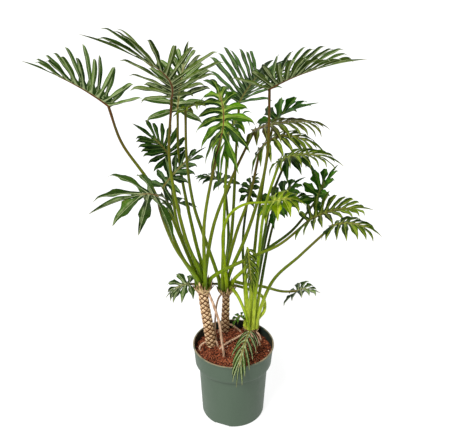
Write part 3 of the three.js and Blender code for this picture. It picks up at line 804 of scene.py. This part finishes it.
def stalk_surface(name, foot, middle, top, rib):
    """Petiole and rib: green at the foot, darker towards the blade, streaked along its length, with painted
    shade at the feet round the crown.
    """
    shader = Shader(name, Roughness=0.42, Specular_IOR_Level=0.18, Specular_Tint=WAXY)
    share = shader.detail()[2]
    height = shader.height()
    streaks = shader.noise(60, 4, (4, 4, 0.35))
    low = shader.times(shader.span(height, 0.43, 0.31, 0.8), shader.span(share, 0.8, 0.3))
    # Painted shade at the feet of the stalks, where they crowd round the crown
    painted_crown_shade = shader.times(shader.span(share, 0.12, 0.0, 0.7), shader.span(height, 0.34, 0.38))
    colour = shader.coats(
        foot,
        (middle, shader.span(share, 0.0, 0.45)),
        (top, shader.span(share, 0.55, 0.97)),
        (rib, shader.span(share, 0.96, 1.1)),
        ((190, 206, 70), low),
        ((50, 78, 8), shader.span(streaks, 0.42, 0.72, 0.5)),
        ((44, 66, 6), painted_crown_shade),
        ((176, 190, 100), shader.span(shader.noise(520, 2), 0.62, 0.75, 0.25)),
    )
    rough = shader.plus(0.32, shader.times(streaks, 0.25))
    return shader.done(Base_Color=colour, Roughness=rough, Normal=shader.bump(streaks, 0.0006, 0.6))


def bark_surface():
    """Leaf scars: cream diamonds with ochre and dark brown between them, painted shade on their lower
    halves, and the green young sheaths.
    """
    shader = Shader("bark", Roughness=0.85, Specular_IOR_Level=0.25)
    raised, wear, young = shader.detail()
    grain = shader.noise(260, 5)
    worn = shader.plus(raised, shader.times(shader.math("SUBTRACT", grain, 0.5), 0.5))
    sheath = shader.mix(shader.noise(70, 3, (3, 3, 0.4)), (140, 164, 24), (198, 210, 76))
    colour = shader.coats(
        (46, 28, 14),
        ((140, 94, 46), shader.span(worn, 0.12, 0.6)),
        ((236, 206, 164), shader.span(worn, 0.62, 1.05)),
        # painted shade on the lower half of each scar, mixed with a random tone
        ((136, 88, 44), shader.span(shader.tone(), 0.25, 0.85, 0.7)),
        ((92, 62, 36), shader.span(shader.noise(28, 3), 0.5, 0.75, 0.4)),
        (shader.mix(wear, sheath, (122, 100, 50)), young),
    )
    rough = shader.math("SUBTRACT", 0.86, shader.times(young, 0.4))
    return shader.done(Base_Color=colour, Roughness=rough, Normal=shader.bump(grain, 0.0016, 0.7))


def root_surface():
    """Aerial roots: pale pinkish beige with fine cracks along them."""
    shader = Shader("root_skin", Roughness=0.8, Specular_IOR_Level=0.3)
    grain = shader.noise(330, 4)
    colour = shader.coats(
        (206, 174, 146),
        ((150, 116, 88), shader.span(shader.noise(55, 4, (4, 4, 0.6)), 0.3, 0.7)),
        ((104, 76, 52), shader.span(grain, 0.58, 0.75)),
    )
    return shader.done(Base_Color=colour, Normal=shader.bump(grain, 0.0008, 0.7))


def husk_surface():
    """Papery remains of old leaf bases."""
    shader = Shader("husk", Roughness=0.8, Specular_IOR_Level=0.3)
    edge, rise, _ = shader.detail()
    fibres = shader.noise(90, 4, (3, 3, 0.5))
    torn = shader.math("MAXIMUM", shader.span(edge, 0.55, 1.0, 0.85), shader.span(rise, 0.7, 1.0, 0.85))
    colour = shader.coats(
        (92, 54, 20),
        ((250, 222, 158), shader.span(fibres, 0.4, 0.62)),
        ((48, 26, 8), torn),
        ((84, 50, 20), shader.times(shader.tone(), 0.5)),
    )
    return shader.done(Base_Color=colour, Normal=shader.bump(fibres, 0.0008, 0.8))


def soil_surface():
    """Reddish coir with pale specks; the hollows of its bump are painted darker, painted shade over the
    coir's own dark brown.
    """
    shader = Shader("coir", Roughness=0.95, Specular_IOR_Level=0.2)
    tone = shader.tone()
    crumbs = shader.noise(190, 5)
    colour = shader.coats(
        # Near black where the crumbs' bump is low: painted shade in the hollows, over the coir's own dark
        # brown
        (16, 4, 0),
        ((146, 74, 44), shader.span(crumbs, 0.38, 0.66)),
        ((84, 36, 22), shader.span(shader.noise(24, 3), 0.35, 0.75, 0.35)),
        ((178, 106, 72), shader.span(tone, 0.4, 0.9)),
        ((226, 196, 170), shader.span(tone, 0.93, 0.99)),
    )
    return shader.done(Base_Color=colour, Normal=shader.bump(crumbs, 0.0025, 0.9))


def pot_surface(name, colour, deep, dust):
    """Matt moulded plastic with faint flow marks, fine grain and a tan band along its top edge."""
    shader = Shader(name, Roughness=0.5, Specular_IOR_Level=0.3)
    scuffs = shader.noise(34, 5)
    edge = shader.span(shader.height(), POT_HEIGHT * MM - 0.0022, POT_HEIGHT * MM, 0.75)
    plastic = shader.coats(
        colour,
        (deep, shader.span(shader.noise(9, 3, (1, 1, 0.25)), 0.3, 0.7)),
        (dust, shader.span(scuffs, 0.55, 0.8, 0.2)),
        # a tan band along the top edge, broken up by the scuffs
        ((150, 132, 104), shader.times(edge, shader.span(scuffs, 0.3, 0.55))),
    )
    rough = shader.plus(0.42, shader.times(scuffs, 0.2))
    normal = shader.bump(shader.noise(900, 2), 0.00025, 0.5)
    return shader.done(Base_Color=plastic, Roughness=rough, Normal=normal)


def floor_surface():
    shader = Shader("studio_floor", Base_Color=(0.2, 0.2, 0.2, 1), Roughness=0.9, Specular_IOR_Level=0.1)
    return shader.done(Emission_Color=(1, 1, 1, 1), Emission_Strength=FLOOR_GLOW)


# Leaves

def rib_share(leaf, index):
    return (index / leaf.lobes) ** RIB_CROWDING


def reach_share(leaf, order):
    if order < LONGEST_AT:
        return lerp(leaf.near, 1, order / LONGEST_AT)
    return lerp(1, leaf.far, (order - LONGEST_AT) / (1 - LONGEST_AT))


def lobe_angle(leaf, index):
    return math.radians(lerp(leaf.back, leaf.front, (index / (leaf.lobes - 1)) ** leaf.turn))


def lobe_gap(leaf, index):
    """The angle between a lobe and the next one."""
    index = clamp(index, 0, leaf.lobes - 2)
    return lobe_angle(leaf, index) - lobe_angle(leaf, index + 1)


def thickness(run, edge, free):
    """Blades are thin towards their tips and along their edges, where these are free."""
    return BLADE_THICK * (1 - (edge * free) ** 4) * (1 - BLADE_THINNING * run)


class Lobe:
    """One lobe as a surface over run, from the rib to the tip, and edge, from rear to front."""

    def __init__(self, leaf, rib, side, index):
        self.leaf = leaf
        self.rib = rib
        self.side = side
        self.index = index
        self.start = rib_share(leaf, index)
        self.end = rib_share(leaf, index + 1)
        self.seed = leaf.reach + 7.3 * index + 3.1 * side + leaf.joint[0]
        self.set_width(lobe_angle(leaf, index))
        middle = (self.start + self.end) / 2
        self.foot = rib.at(middle)
        along = rib.frame(middle)[0]
        out = rib.outward(middle, side)
        self.angle = lobe_angle(leaf, index) + math.radians(LOBE_TURN * vary(self.seed))
        self.length = self.reach * (1 + LOBE_GROWTH * vary(self.seed + 1))
        self.course = along * math.cos(self.angle) + out * math.sin(self.angle)
        self.forward = along * math.sin(self.angle) - out * math.cos(self.angle)
        self.twist = LOBE_TWIST * vary(self.seed + 5)
        self.sag = leaf.droop * (1 + EXTRA_SAG * (0.5 + 0.5 * vary(self.seed + 6)))
        self.rear_shift = Vector()
        self.front_shift = Vector()

    def set_width(self, angle):
        """A lobe narrows late on straps, sooner on broad lobes, and leaves its neighbours room."""
        leaf = self.leaf
        broad = clamp((leaf.width / leaf.reach - STRAP_NARROWNESS) / STRAP_NARROWNESS)
        self.taper = lerp(STRAP_TAPER, LOBE_TAPER, broad)
        self.full = leaf.width * LOBE_SWELL * (LOBE_TAPER / self.taper) ** 0.25
        self.reach = leaf.reach * reach_share(leaf, self.index / (leaf.lobes - 1))
        self.slope = math.sin(angle)
        self.spacing = self.rib.length / leaf.lobes * self.slope
        self.gap = min(lobe_gap(leaf, self.index - 1), lobe_gap(leaf, self.index))

    def half(self, run):
        """Half of the width at a place along the lobe."""
        grown = lerp(LOBE_WAIST, 1, smooth(run / LOBE_WIDEST))
        along = run * self.reach
        beside = (self.spacing + along * self.gap) / 2
        room = min(beside, RIB_ROOM * along * self.slope)
        return min(self.full * (1 - run ** self.taper) * grown, LOBE_ROOM * room)

    def tooth(self, run, edge):
        """How much wider the lobe is where a short tooth stands on its edge."""
        if abs(edge) < 1:
            return 0.0
        peak = TOOTH_PLACE + 0.08 * vary(self.seed + edge)
        width = TOOTH_REAR if run < peak else TOOTH_FRONT
        rise = clamp(1 - abs(run - peak) / width)
        return self.leaf.teeth * (1.4 + 0.6 * vary(self.seed + 2 * edge)) * rise

    def free(self, run, edge):
        """A place on the lobe as it would be with nothing beside it."""
        half = self.half(run) * (edge + math.copysign(self.tooth(run, edge), edge))
        bow = LOBE_BOW * math.sin(self.angle) * self.length * run * run
        place = self.foot + self.course * (self.length * run) + self.forward * (half + bow)
        curl = CURL_DROP * smooth((run - CURL_START) / (1 - CURL_START)) ** 2
        return place - UP * (self.sag * run * run + curl) - self.course * (CURL_BACK * curl)

    def shift(self, edge):
        return self.rear_shift * max(0, -edge) ** 1.5 + self.front_shift * max(0, edge) ** 1.5

    def rib_place(self, edge):
        return lerp(self.start, self.end, (edge + 1) / 2)

    def place(self, run, edge):
        if run < NOTCH:
            base = self.rib.at(self.rib_place(edge))
            return base.lerp(self.free(NOTCH, edge) + self.shift(edge), run / NOTCH)
        fade = 1 - smooth((run - NOTCH) / SINUS)
        return self.free(run, edge) + self.shift(edge) * fade

    def face_up(self, run, edge):
        """The direction out of the upper face, which neighbours share along their seam."""
        _, across, up = self.rib.frame(self.rib_place(edge))
        fold = self.rib.fold * smooth(run / NOTCH)
        return up * math.cos(fold) - across * (self.side * math.sin(fold))

    def relief(self, run, edge):
        """Channelled lobes with a slightly wavy edge."""
        half = self.half(run)
        channel = CHANNEL * half * abs(edge) ** 1.5
        swing = math.sin(run * WAVE_TURNS + self.seed * 5 + (1.3 if edge > 0 else 0))
        turned = self.twist * run * edge * half
        return smooth((run - NOTCH) / RELIEF_RUN) * (channel + turned + WAVE * half * edge * edge * swing)

    def surface(self, run, edge):
        """A place, its normal, the heights of the upper and lower face, and the detail."""
        joined = run < NOTCH and not (self.index == 0 and edge == -1)
        thick = thickness(run, edge, run / NOTCH if joined else 1)
        ridge = MIDVEIN_RIDGE * (1 - run) if edge == 0 else 0
        relief = self.relief(run, edge)
        detail = (edge * self.half(run), self.length * run, self.half(run))
        heights = (relief + thick / 2, relief - thick / 2 - ridge)
        return self.place(run, edge), self.face_up(run, edge), heights, detail


def add_faces(build, surface, tone, flip):
    """The upper and lower face of a lobe, which meet along its free edges."""
    upper = []
    lower = []
    for run in RUNS:
        upper.append([])
        lower.append([])
        for edge in EDGES:
            place, normal, heights, detail = surface(run, edge)
            upper[-1].append(build.point(place + normal * heights[0], detail, tone))
            lower[-1].append(build.point(place + normal * heights[1], detail, tone))
    build.grid(upper, 0, flip=not flip)
    build.grid(lower, 1, flip=flip)


def end_notch(leaf, rib, side):
    along = rib.frame(1)[0]
    angle = math.radians(leaf.front) / 2
    reach = TIP_NOTCH * leaf.reach * leaf.far
    return rib.at(1) + along * (reach * math.cos(angle)) + rib.outward(1, side) * (reach * math.sin(angle))


def add_end_lobe(build, leaf, rib, left, right):
    """The lobe at the end of the rib, between the last lobes of both sides."""
    along, across, up = rib.frame(1)
    tip = rib.at(1)
    reach = leaf.reach * leaf.far * END_REACH
    first = (left - tip).dot(along) / reach
    foot_half = (right - left).length / 2
    valley = abs(foot_half * math.tan(rib.fold))
    full = min(leaf.width, END_ROOM * reach * math.sin(math.radians(leaf.front))) / 2

    def surface(run, edge):
        notch = left.lerp(right, (edge + 1) / 2) - up * (valley * (1 - abs(edge)))
        if run < first:
            half = foot_half * run / first
            place = tip.lerp(notch, run / first)
        else:
            rest = (run - first) / (1 - first)
            half = lerp(foot_half, full, smooth(rest / END_WIDEST)) * (1 - rest ** END_TAPER)
            place = tip + along * (reach * run) + across * (edge * half)
            place -= UP * (leaf.droop * END_SAG * rest ** END_BEND)
            place = notch.lerp(place, smooth(rest / END_BLEND))
        thick = thickness(run, edge, min(run / first, 1))
        lift = END_CHANNEL * half * abs(edge) ** 1.5 * smooth((run - first) / END_RELIEF_RUN)
        return place, up, (lift + thick / 2, lift - thick / 2), (edge * half, reach * run, half)

    add_faces(build, surface, 0.5, flip=True)


def add_blade(build, leaf, rib):
    ends = {}
    for side in (1, -1):
        lobes = [Lobe(leaf, rib, side, index) for index in range(leaf.lobes)]
        for before, after in zip(lobes, lobes[1:]):
            meeting = (before.free(NOTCH, 1) + after.free(NOTCH, -1)) / 2
            before.front_shift = meeting - before.free(NOTCH, 1)
            after.rear_shift = meeting - after.free(NOTCH, -1)
        ends[side] = end_notch(leaf, rib, side)
        lobes[-1].front_shift = ends[side] - lobes[-1].free(NOTCH, 1)
        for lobe in lobes:
            add_faces(build, lobe.surface, 0.5 + 0.5 * vary(lobe.seed + 4), flip=side < 0)
    add_end_lobe(build, leaf, rib, ends[-1], ends[1])


def seat_point(leaf):
    stem = find_stem(leaf.stem)
    radius = HEART_RADIUS if leaf.heart else RING_RADIUS
    level = stem.level + (stem.core if leaf.heart else 0)
    return Vector((*stem.crown, level)) + spoke(math.radians(leaf.seat)) * radius


def add_petiole(build, leaf, rib):
    seat = seat_point(leaf)
    along, _, up = rib.frame(0)
    end = Vector(leaf.joint) + along * PETIOLE_REACH - up * PETIOLE_DROP
    path = Spline([seat, seat + UP * leaf.rise, *leaf.via, end])
    radii = []
    for share in shares(PETIOLE_STEPS):
        knee = KNEE_SWELL * math.exp(-((share - KNEE_PLACE) / KNEE_LENGTH) ** 2)
        radii.append(lerp(PETIOLE_FOOT, PETIOLE_END, share ** 0.85) + knee)
    build.tube(path.spaced(PETIOLE_STEPS), radii, PETIOLE_SIDES, 2, ridges=PETIOLE_RIDGES)


def add_rib(build, rib):
    places = []
    radii = []
    for share in shares(RIB_STEPS):
        radius = lerp(RIB_FOOT, RIB_END, share ** 0.8)
        places.append(rib.at(share) - rib.frame(share)[2] * (RIB_SINK * radius))
        radii.append(radius)
    build.tube(places, radii, RIB_SIDES, 2, start=1.0)


def make_leaf(name, table, materials):
    leaf = SimpleNamespace(**{**USUAL, **table})
    rib = Rib(leaf)
    build = Build()
    add_blade(build, leaf, rib)
    add_rib(build, rib)
    add_petiole(build, leaf, rib)
    slots = [materials["upper", leaf.look], materials["lower", leaf.look], materials["stalk", leaf.stalk]]
    build.piece("frond_" + name, "leaf_" + name, "leaves", slots, weld=0.02)


# Stems

def find_stem(name):
    """A row of STEMS, with the height of the neck where its crown starts to flare."""
    row = STEMS[name]
    return SimpleNamespace(neck=row["level"] - CROWN_DEPTH, **row)


def stem_axis(stem, height):
    share = clamp((height - SOIL_LEVEL) / (stem.neck - SOIL_LEVEL))
    lean = smooth(share) * 0.5 + share * 0.5
    x, y = [lerp(foot, crown, lean) for foot, crown in zip(stem.foot, stem.crown)]
    return Vector((x, y, height))


def scar(stem, turn, height):
    """Raised share of the diamond scar at a place on the stem, and its tone, which paints shade on the
    scar's lower half.
    """
    rows = round((stem.neck - STEM_FOOT) / (SCAR_HEIGHT / 2))
    across = turn * stem.scars
    upward = (height - STEM_FOOT) / (stem.neck - STEM_FOOT) * rows / 2
    first = across + upward
    second = across - upward
    first_cell = math.floor(first)
    second_cell = math.floor(second)
    away = max(abs(first - first_cell - 0.5), abs(second - second_cell - 0.5))
    number = first_cell % stem.scars * 7.1 + (first_cell - second_cell) * 3.3
    edge = SCAR_EDGE + 0.03 * vary(number)
    raised = 1 - smooth((away - edge + SCAR_GROOVE) / SCAR_GROOVE)
    # The tone is painted shade on the lower half of each scar, plus a random share
    lower = 0.5 - 0.5 * (first - first_cell - second + second_cell)
    return raised, 0.7 * lower + 0.15 * (1 + vary(number + 0.7))


def stem_profile(stem, height):
    """The stem's radius without its scars, with the crown flaring at the top."""
    if height <= stem.neck:
        share = clamp((height - SOIL_LEVEL) / (stem.neck - SOIL_LEVEL))
        return stem.radius + 0.7 * math.sin(math.pi * share * 1.6 + 0.2)
    return lerp(stem.radius, CROWN_RADIUS - 1.2, smooth((height - stem.neck) / CROWN_DEPTH) ** 0.8)


def add_trunk(build, stem):
    low = SOIL_LEVEL - TRUNK_SINK
    high = stem.level - TRUNK_GAP

    def spot(share, turn):
        height = lerp(low, high, share)
        axis = stem_axis(stem, height)
        radius = stem_profile(stem, height)
        raised, tone = scar(stem, turn, height)
        out = spoke(2 * math.pi * turn)
        rough = noise.noise((axis + out * radius) * 0.35) * 0.5
        return axis + out * (radius + SCAR_RELIEF * (raised - 0.6) + rough), (raised, 0, 0), tone

    rows = shares(int((high - low) / TRUNK_STEP))
    build.sheet(rows, shares(TRUNK_SIDES)[:-1], spot, around=True)


def add_core(build, stem):
    """Young sheaths folded round each other above the crown."""
    axis = Vector((*stem.crown, 0))
    top = stem.level + stem.core

    def spot(height, angle):
        share = clamp((height - stem.level) / stem.core)
        fold = abs(math.sin(1.5 * angle + 0.7 * share + stem.crown[0]))
        radius = CROWN_RADIUS - 2 if height < stem.level else CORE_RADIUS * (0.9 + 0.1 * fold)
        wear = 1 - smooth((fold - 0.04) / 0.12)
        young = 1 if height > stem.level else 0.4
        return axis + spoke(angle) * radius + UP * height, (0.5, wear, young), 0.4

    levels = [stem.level - 1.0] + [lerp(stem.level, top, share) for share in shares(CORE_STEPS)]
    rings = build.sheet(levels, angles(CORE_SIDES), spot, around=True)
    build.fan(build.point(axis + UP * (top - 0.2), (0.5, 0, 1), 0.4), rings[-1])


def add_husks(build, stem, dice):
    """Papery remains of leaf bases round the crown."""
    axis = Vector((*stem.crown, 0))
    for k in range(HUSK_COUNT):
        angle = 2 * math.pi * (k + 0.7 * dice.random()) / HUSK_COUNT
        foot = stem.level - dice.uniform(4, CROWN_DEPTH)
        height = dice.uniform(*HUSK_HEIGHTS) * stem.husk
        width = dice.uniform(*HUSK_WIDTHS)
        lean = dice.uniform(*HUSK_LEANS)
        tone = dice.random()

        def spot(share, part, thick=0.0):
            rise = foot + height * share
            turn = angle + width * (1 - share ** 1.6) * part + 0.1 * share * vary(k)
            radius = stem_profile(stem, min(rise, stem.level)) + 0.8 + lean * height * share * share
            radius -= 1.2 * abs(part) + thick * (1 - abs(part)) * (1 - share)
            return axis + spoke(turn) * radius + UP * rise, (abs(part), share, 0), tone

        def inner_spot(share, part):
            return spot(share, part, HUSK_THICK)

        build.sheet(shares(HUSK_STEPS), HUSK_ACROSS, spot, slot=2)
        build.sheet(shares(HUSK_STEPS), HUSK_ACROSS, inner_spot, slot=2, flip=True)


def add_roots(build, name):
    for carrier, radius, points in ROOTS:
        if carrier == name:
            foot = (*points[-1][:2], SOIL_LEVEL - ROOT_SINK)
            places = Spline([*points, foot]).spaced(ROOT_STEPS)
            radii = [radius * lerp(1, ROOT_TAPER, share) for share in shares(ROOT_STEPS)]
            build.tube(places, radii, ROOT_SIDES, 1, ridges=ROOT_RIDGES)


def make_stem(name, materials, dice):
    stem = find_stem(name)
    build = Build()
    add_trunk(build, stem)
    add_core(build, stem)
    add_husks(build, stem, dice)
    add_roots(build, name)
    slots = [materials["bark"], materials["root"], materials["husk"]]
    build.piece("trunk_" + name, "stem_" + name, "stems", slots, weld=0.01, sharp=60)


# Soil

def on_soil(place, lift=0.0):
    """The point of the soil's surface over a level place, or a little above it."""
    radius = place.length
    swell = SOIL_SWELL * (1 - smooth(radius / SOIL_RADIUS))
    edge = -SOIL_EDGE_DROP * smooth((radius - SOIL_RADIUS + SOIL_EDGE) / SOIL_EDGE)
    rough = noise.fractal(place * 0.11, 0.8, 2.1, 4)
    fine = noise.noise((place + UP * 3) * 0.5)
    height = SOIL_LEVEL + swell + edge + SOIL_BUMPS * (0.5 * rough + 0.3 * fine) - 1.0
    return place + UP * (height + lift)


def scatter(dice, border):
    """A chance level place on the soil, away from its edge."""
    radius = (SOIL_RADIUS - border) * math.sqrt(dice.random())
    return spoke(dice.uniform(0, 2 * math.pi)) * radius


def add_chip(build, dice):
    place = scatter(dice, CHIP_BORDER)
    centre = on_soil(place, dice.uniform(-0.3, 0.5))
    size = dice.uniform(*CHIP_SIZES) * 0.8
    speck = dice.random() > 1 - SPECK_SHARE
    tone = 1.0 if speck else dice.uniform(0, 0.85)
    if speck:
        size *= 0.8

    def corner(a, b, c):
        return centre + Vector((a * dice.uniform(0.5, 1.2), b * dice.uniform(0.4, 1), c * 0.6)) * size

    build.box(corner, tone)


def add_fibre(build, dice):
    middle = scatter(dice, FIBRE_BORDER)
    heading = dice.uniform(0, 2 * math.pi)
    length = dice.uniform(*FIBRE_LENGTHS)
    tone = dice.uniform(0.3, 0.9)
    places = []
    for share in shares(len(FIBRE_RADII) - 1):
        bend = heading + (share - 0.5) * dice.uniform(-0.5, 0.5)
        place = middle + spoke(bend) * (length * (share - 0.5))
        places.append(on_soil(place, 0.5 + dice.uniform(0, 0.7)))
    build.tube(places, FIBRE_RADII, FIBRE_SIDES, tone=tone)


def make_soil(materials, dice):
    build = Build()
    centre = build.point(on_soil(Vector()))
    rings = []
    for share in shares(SOIL_RINGS)[1:]:
        radius = SOIL_RADIUS * share
        rings.append([build.point(on_soil(spoke(angle) * radius)) for angle in angles(SOIL_SIDES)])
    sides = [
        (BODY_TOP - WALL - 1, LEDGE + 1),
        (BODY_FOOT - WALL - 1, CORNER_RADIUS + WALL),
        (BODY_FOOT - WALL - CORNER_RADIUS - 1, WALL + 0.4),
        (0.1, WALL + 0.4),
    ]
    for radius, height in sides:
        rings.append(build.circle(radius, height, SOIL_SIDES))
    build.fan(centre, rings[0])
    build.grid(rings, 0, around=True, flip=True)
    for _ in range(CHIP_COUNT):
        add_chip(build, dice)
    for _ in range(FIBRE_COUNT):
        add_fibre(build, dice)
    build.piece("potting_mix", "soil", "soil", [materials["soil"]], sharp=60)


# Pot

def pot_profile():
    """Radius and height of the rings that run up the outside and of those that run down inside."""
    corner = []
    for share in shares(CORNER_STEPS)[1:-1]:
        turn = math.pi / 2 * share
        radius = BODY_FOOT - CORNER_RADIUS + CORNER_RADIUS * math.sin(turn)
        corner.append((radius, CORNER_RADIUS - CORNER_RADIUS * math.cos(turn)))
    body_foot = (BODY_FOOT, CORNER_RADIUS + 2)
    collar_foot = (COLLAR_FOOT, SHOULDER + 0.4)
    collar_top = (COLLAR_TOP - 0.4, POT_HEIGHT - LIP_DEPTH - 0.4)
    outer = [
        (0.01, 0),
        (BODY_FOOT - CORNER_RADIUS, 0),
        *corner,
        body_foot,
        *between(body_foot, (BODY_TOP, LEDGE - 1), BODY_STEPS),
        (BODY_TOP + 0.5, LEDGE + 0.5),
        (COLLAR_FOOT - 2.4, SHOULDER - 2.4),
        (COLLAR_FOOT - 0.8, SHOULDER - 1.4),
        collar_foot,
        *between(collar_foot, collar_top, COLLAR_STEPS),
        (LIP_RADIUS - 0.5, POT_HEIGHT - LIP_DEPTH + 0.2),
        (LIP_RADIUS, POT_HEIGHT - LIP_DEPTH + 1),
        (LIP_RADIUS, POT_HEIGHT - 1.4),
        (LIP_RADIUS - 0.4, POT_HEIGHT - 0.4),
        (LIP_RADIUS - 1.3, POT_HEIGHT),
        (LIP_RADIUS - LIP_WIDTH + 1, POT_HEIGHT),
    ]
    inner = [
        (LIP_RADIUS - LIP_WIDTH, POT_HEIGHT - 0.8),
        (LIP_RADIUS - LIP_WIDTH - 0.2, POT_HEIGHT - 3),
        (COLLAR_FOOT - WALL, SHOULDER + 2),
        (BODY_TOP - WALL, LEDGE + 2),
        (BODY_FOOT - WALL, CORNER_RADIUS + WALL),
        (BODY_FOOT - WALL - CORNER_RADIUS, WALL),
        (0.01, WALL),
    ]
    return outer, inner


def make_pot(materials):
    outer, inner = pot_profile()
    build = Build()
    rings = [build.circle(radius, height, POT_SIDES) for radius, height in outer + inner]
    build.grid(rings[:len(outer)], 0, around=True)
    build.grid(rings[len(outer) - 1:], 1, around=True)
    build.face(rings[0][::-1], 0)
    build.face(rings[-1], 1)
    slots = [materials["pot"], materials["pot inside painted shade"]]
    cut_slots(build.piece("nursery_pot", "pot", "pot", slots, sharp=POT_SHARP))


def cut_slots(pot):
    """Drain slots through the corner between the wall and the base."""
    cutters = Build()
    for angle in angles(SLOT_COUNT):
        out = spoke(angle + math.radians(SLOT_TURN))
        side = UP.cross(out)

        def corner(a, b, c):
            place = out * (BODY_FOOT + a * SLOT_DEPTH) + side * (b * SLOT_WIDTH / 2)
            return place + UP * (c * SLOT_HEIGHT)

        cutters.box(corner)
    mesh = cutters.mesh("slot_cutters")
    tool = add_object("slot_cutters", mesh)
    cut = pot.modifiers.new("slots", "BOOLEAN")
    cut.operation = "DIFFERENCE"
    cut.solver = "EXACT"
    cut.object = tool
    done = bpy.data.meshes.new_from_object(pot.evaluated_get(bpy.context.evaluated_depsgraph_get()))
    pot.modifiers.clear()
    before = pot.data
    pot.data = done
    bpy.data.meshes.remove(before)
    bpy.data.objects.remove(tool)
    bpy.data.meshes.remove(mesh)
    done.set_sharp_from_angle(angle=math.radians(POT_SHARP))


# Studio

def make_camera():
    data = bpy.data.cameras.new("camera")
    data.lens = CAMERA_LENS
    data.sensor_width = 36
    data.clip_end = 100
    camera = add_object("camera", data)
    camera.location = CAMERA_PLACE
    camera.rotation_euler = (math.radians(CAMERA_PITCH), 0, 0)
    bpy.context.scene.camera = camera


def make_floor():
    mesh = bpy.data.meshes.new("floor")
    half = FLOOR_HALF
    corners = [(-half, -half, 0), (half, -half, 0), (half, half, 0), (-half, half, 0)]
    mesh.from_pydata(corners, [], [(0, 1, 2, 3)])
    mesh.materials.append(floor_surface())
    floor = add_object("floor", mesh)


def make_walls():
    """A white studio wall all round, up to about 20 degrees above the floor's edge, and a dim ceiling."""
    world = bpy.data.worlds.new("studio")
    world.use_nodes = True
    tree = world.node_tree
    sky = tree.nodes["Background"]
    sky.inputs["Color"].default_value = (1, 1, 1, 1)
    direction = tree.nodes.new("ShaderNodeTexCoord")
    parts = tree.nodes.new("ShaderNodeSeparateXYZ")
    fade = tree.nodes.new("ShaderNodeMapRange")
    fade.interpolation_type = "SMOOTHSTEP"
    for socket, value in zip(fade.inputs[1:5], (WALL_TOP, CEILING_EDGE, WALL_LIGHT, CEILING_LIGHT)):
        socket.default_value = value
    tree.links.new(direction.outputs["Generated"], parts.inputs[0])
    tree.links.new(parts.outputs[2], fade.inputs[0])
    tree.links.new(fade.outputs[0], sky.inputs["Strength"])
    bpy.context.scene.world = world


def make_lights():
    bpy.context.scene.view_settings.view_transform = "Standard"
    for name, turn, strength, spread in SUNS:
        lamp = bpy.data.lights.new(name, "SUN")
        lamp.energy = strength
        lamp.angle = math.radians(spread)
        holder = add_object(name, lamp)
        holder.rotation_euler = [math.radians(value) for value in turn]


def make_materials():
    materials = {
        "bark": bark_surface(),
        "root": root_surface(),
        "husk": husk_surface(),
        "soil": soil_surface(),
        "pot": pot_surface("pot_outside", **POT_OUTSIDE),
        # The inside of the pot is painted darker: painted shade
        "pot inside painted shade": pot_surface("pot_inside_painted_shade", **POT_INSIDE_PAINTED_SHADE),
    }
    for name, (shade, light, lower, vein) in LOOKS.items():
        dim = DIM.get(name, 0)
        upper = blade_surface("blade_" + name, shade, light, vein, dim, **UPPER_FACE)
        under = blade_surface("underside_" + name, shade, lower, vein, dim, **LOWER_FACE)
        materials["upper", name] = upper
        materials["lower", name] = under
    for name, colours in STALKS.items():
        materials["stalk", name] = stalk_surface("stalk_" + name, *colours)
    return materials


def main():
    make_camera()
    make_floor()
    make_walls()
    make_lights()
    materials = make_materials()
    dice = random.Random(SEED)
    make_pot(materials)
    make_soil(materials, dice)
    for name in STEMS:
        make_stem(name, materials, dice)
    for name, table in LEAVES.items():
        make_leaf(name, table, materials)


main()
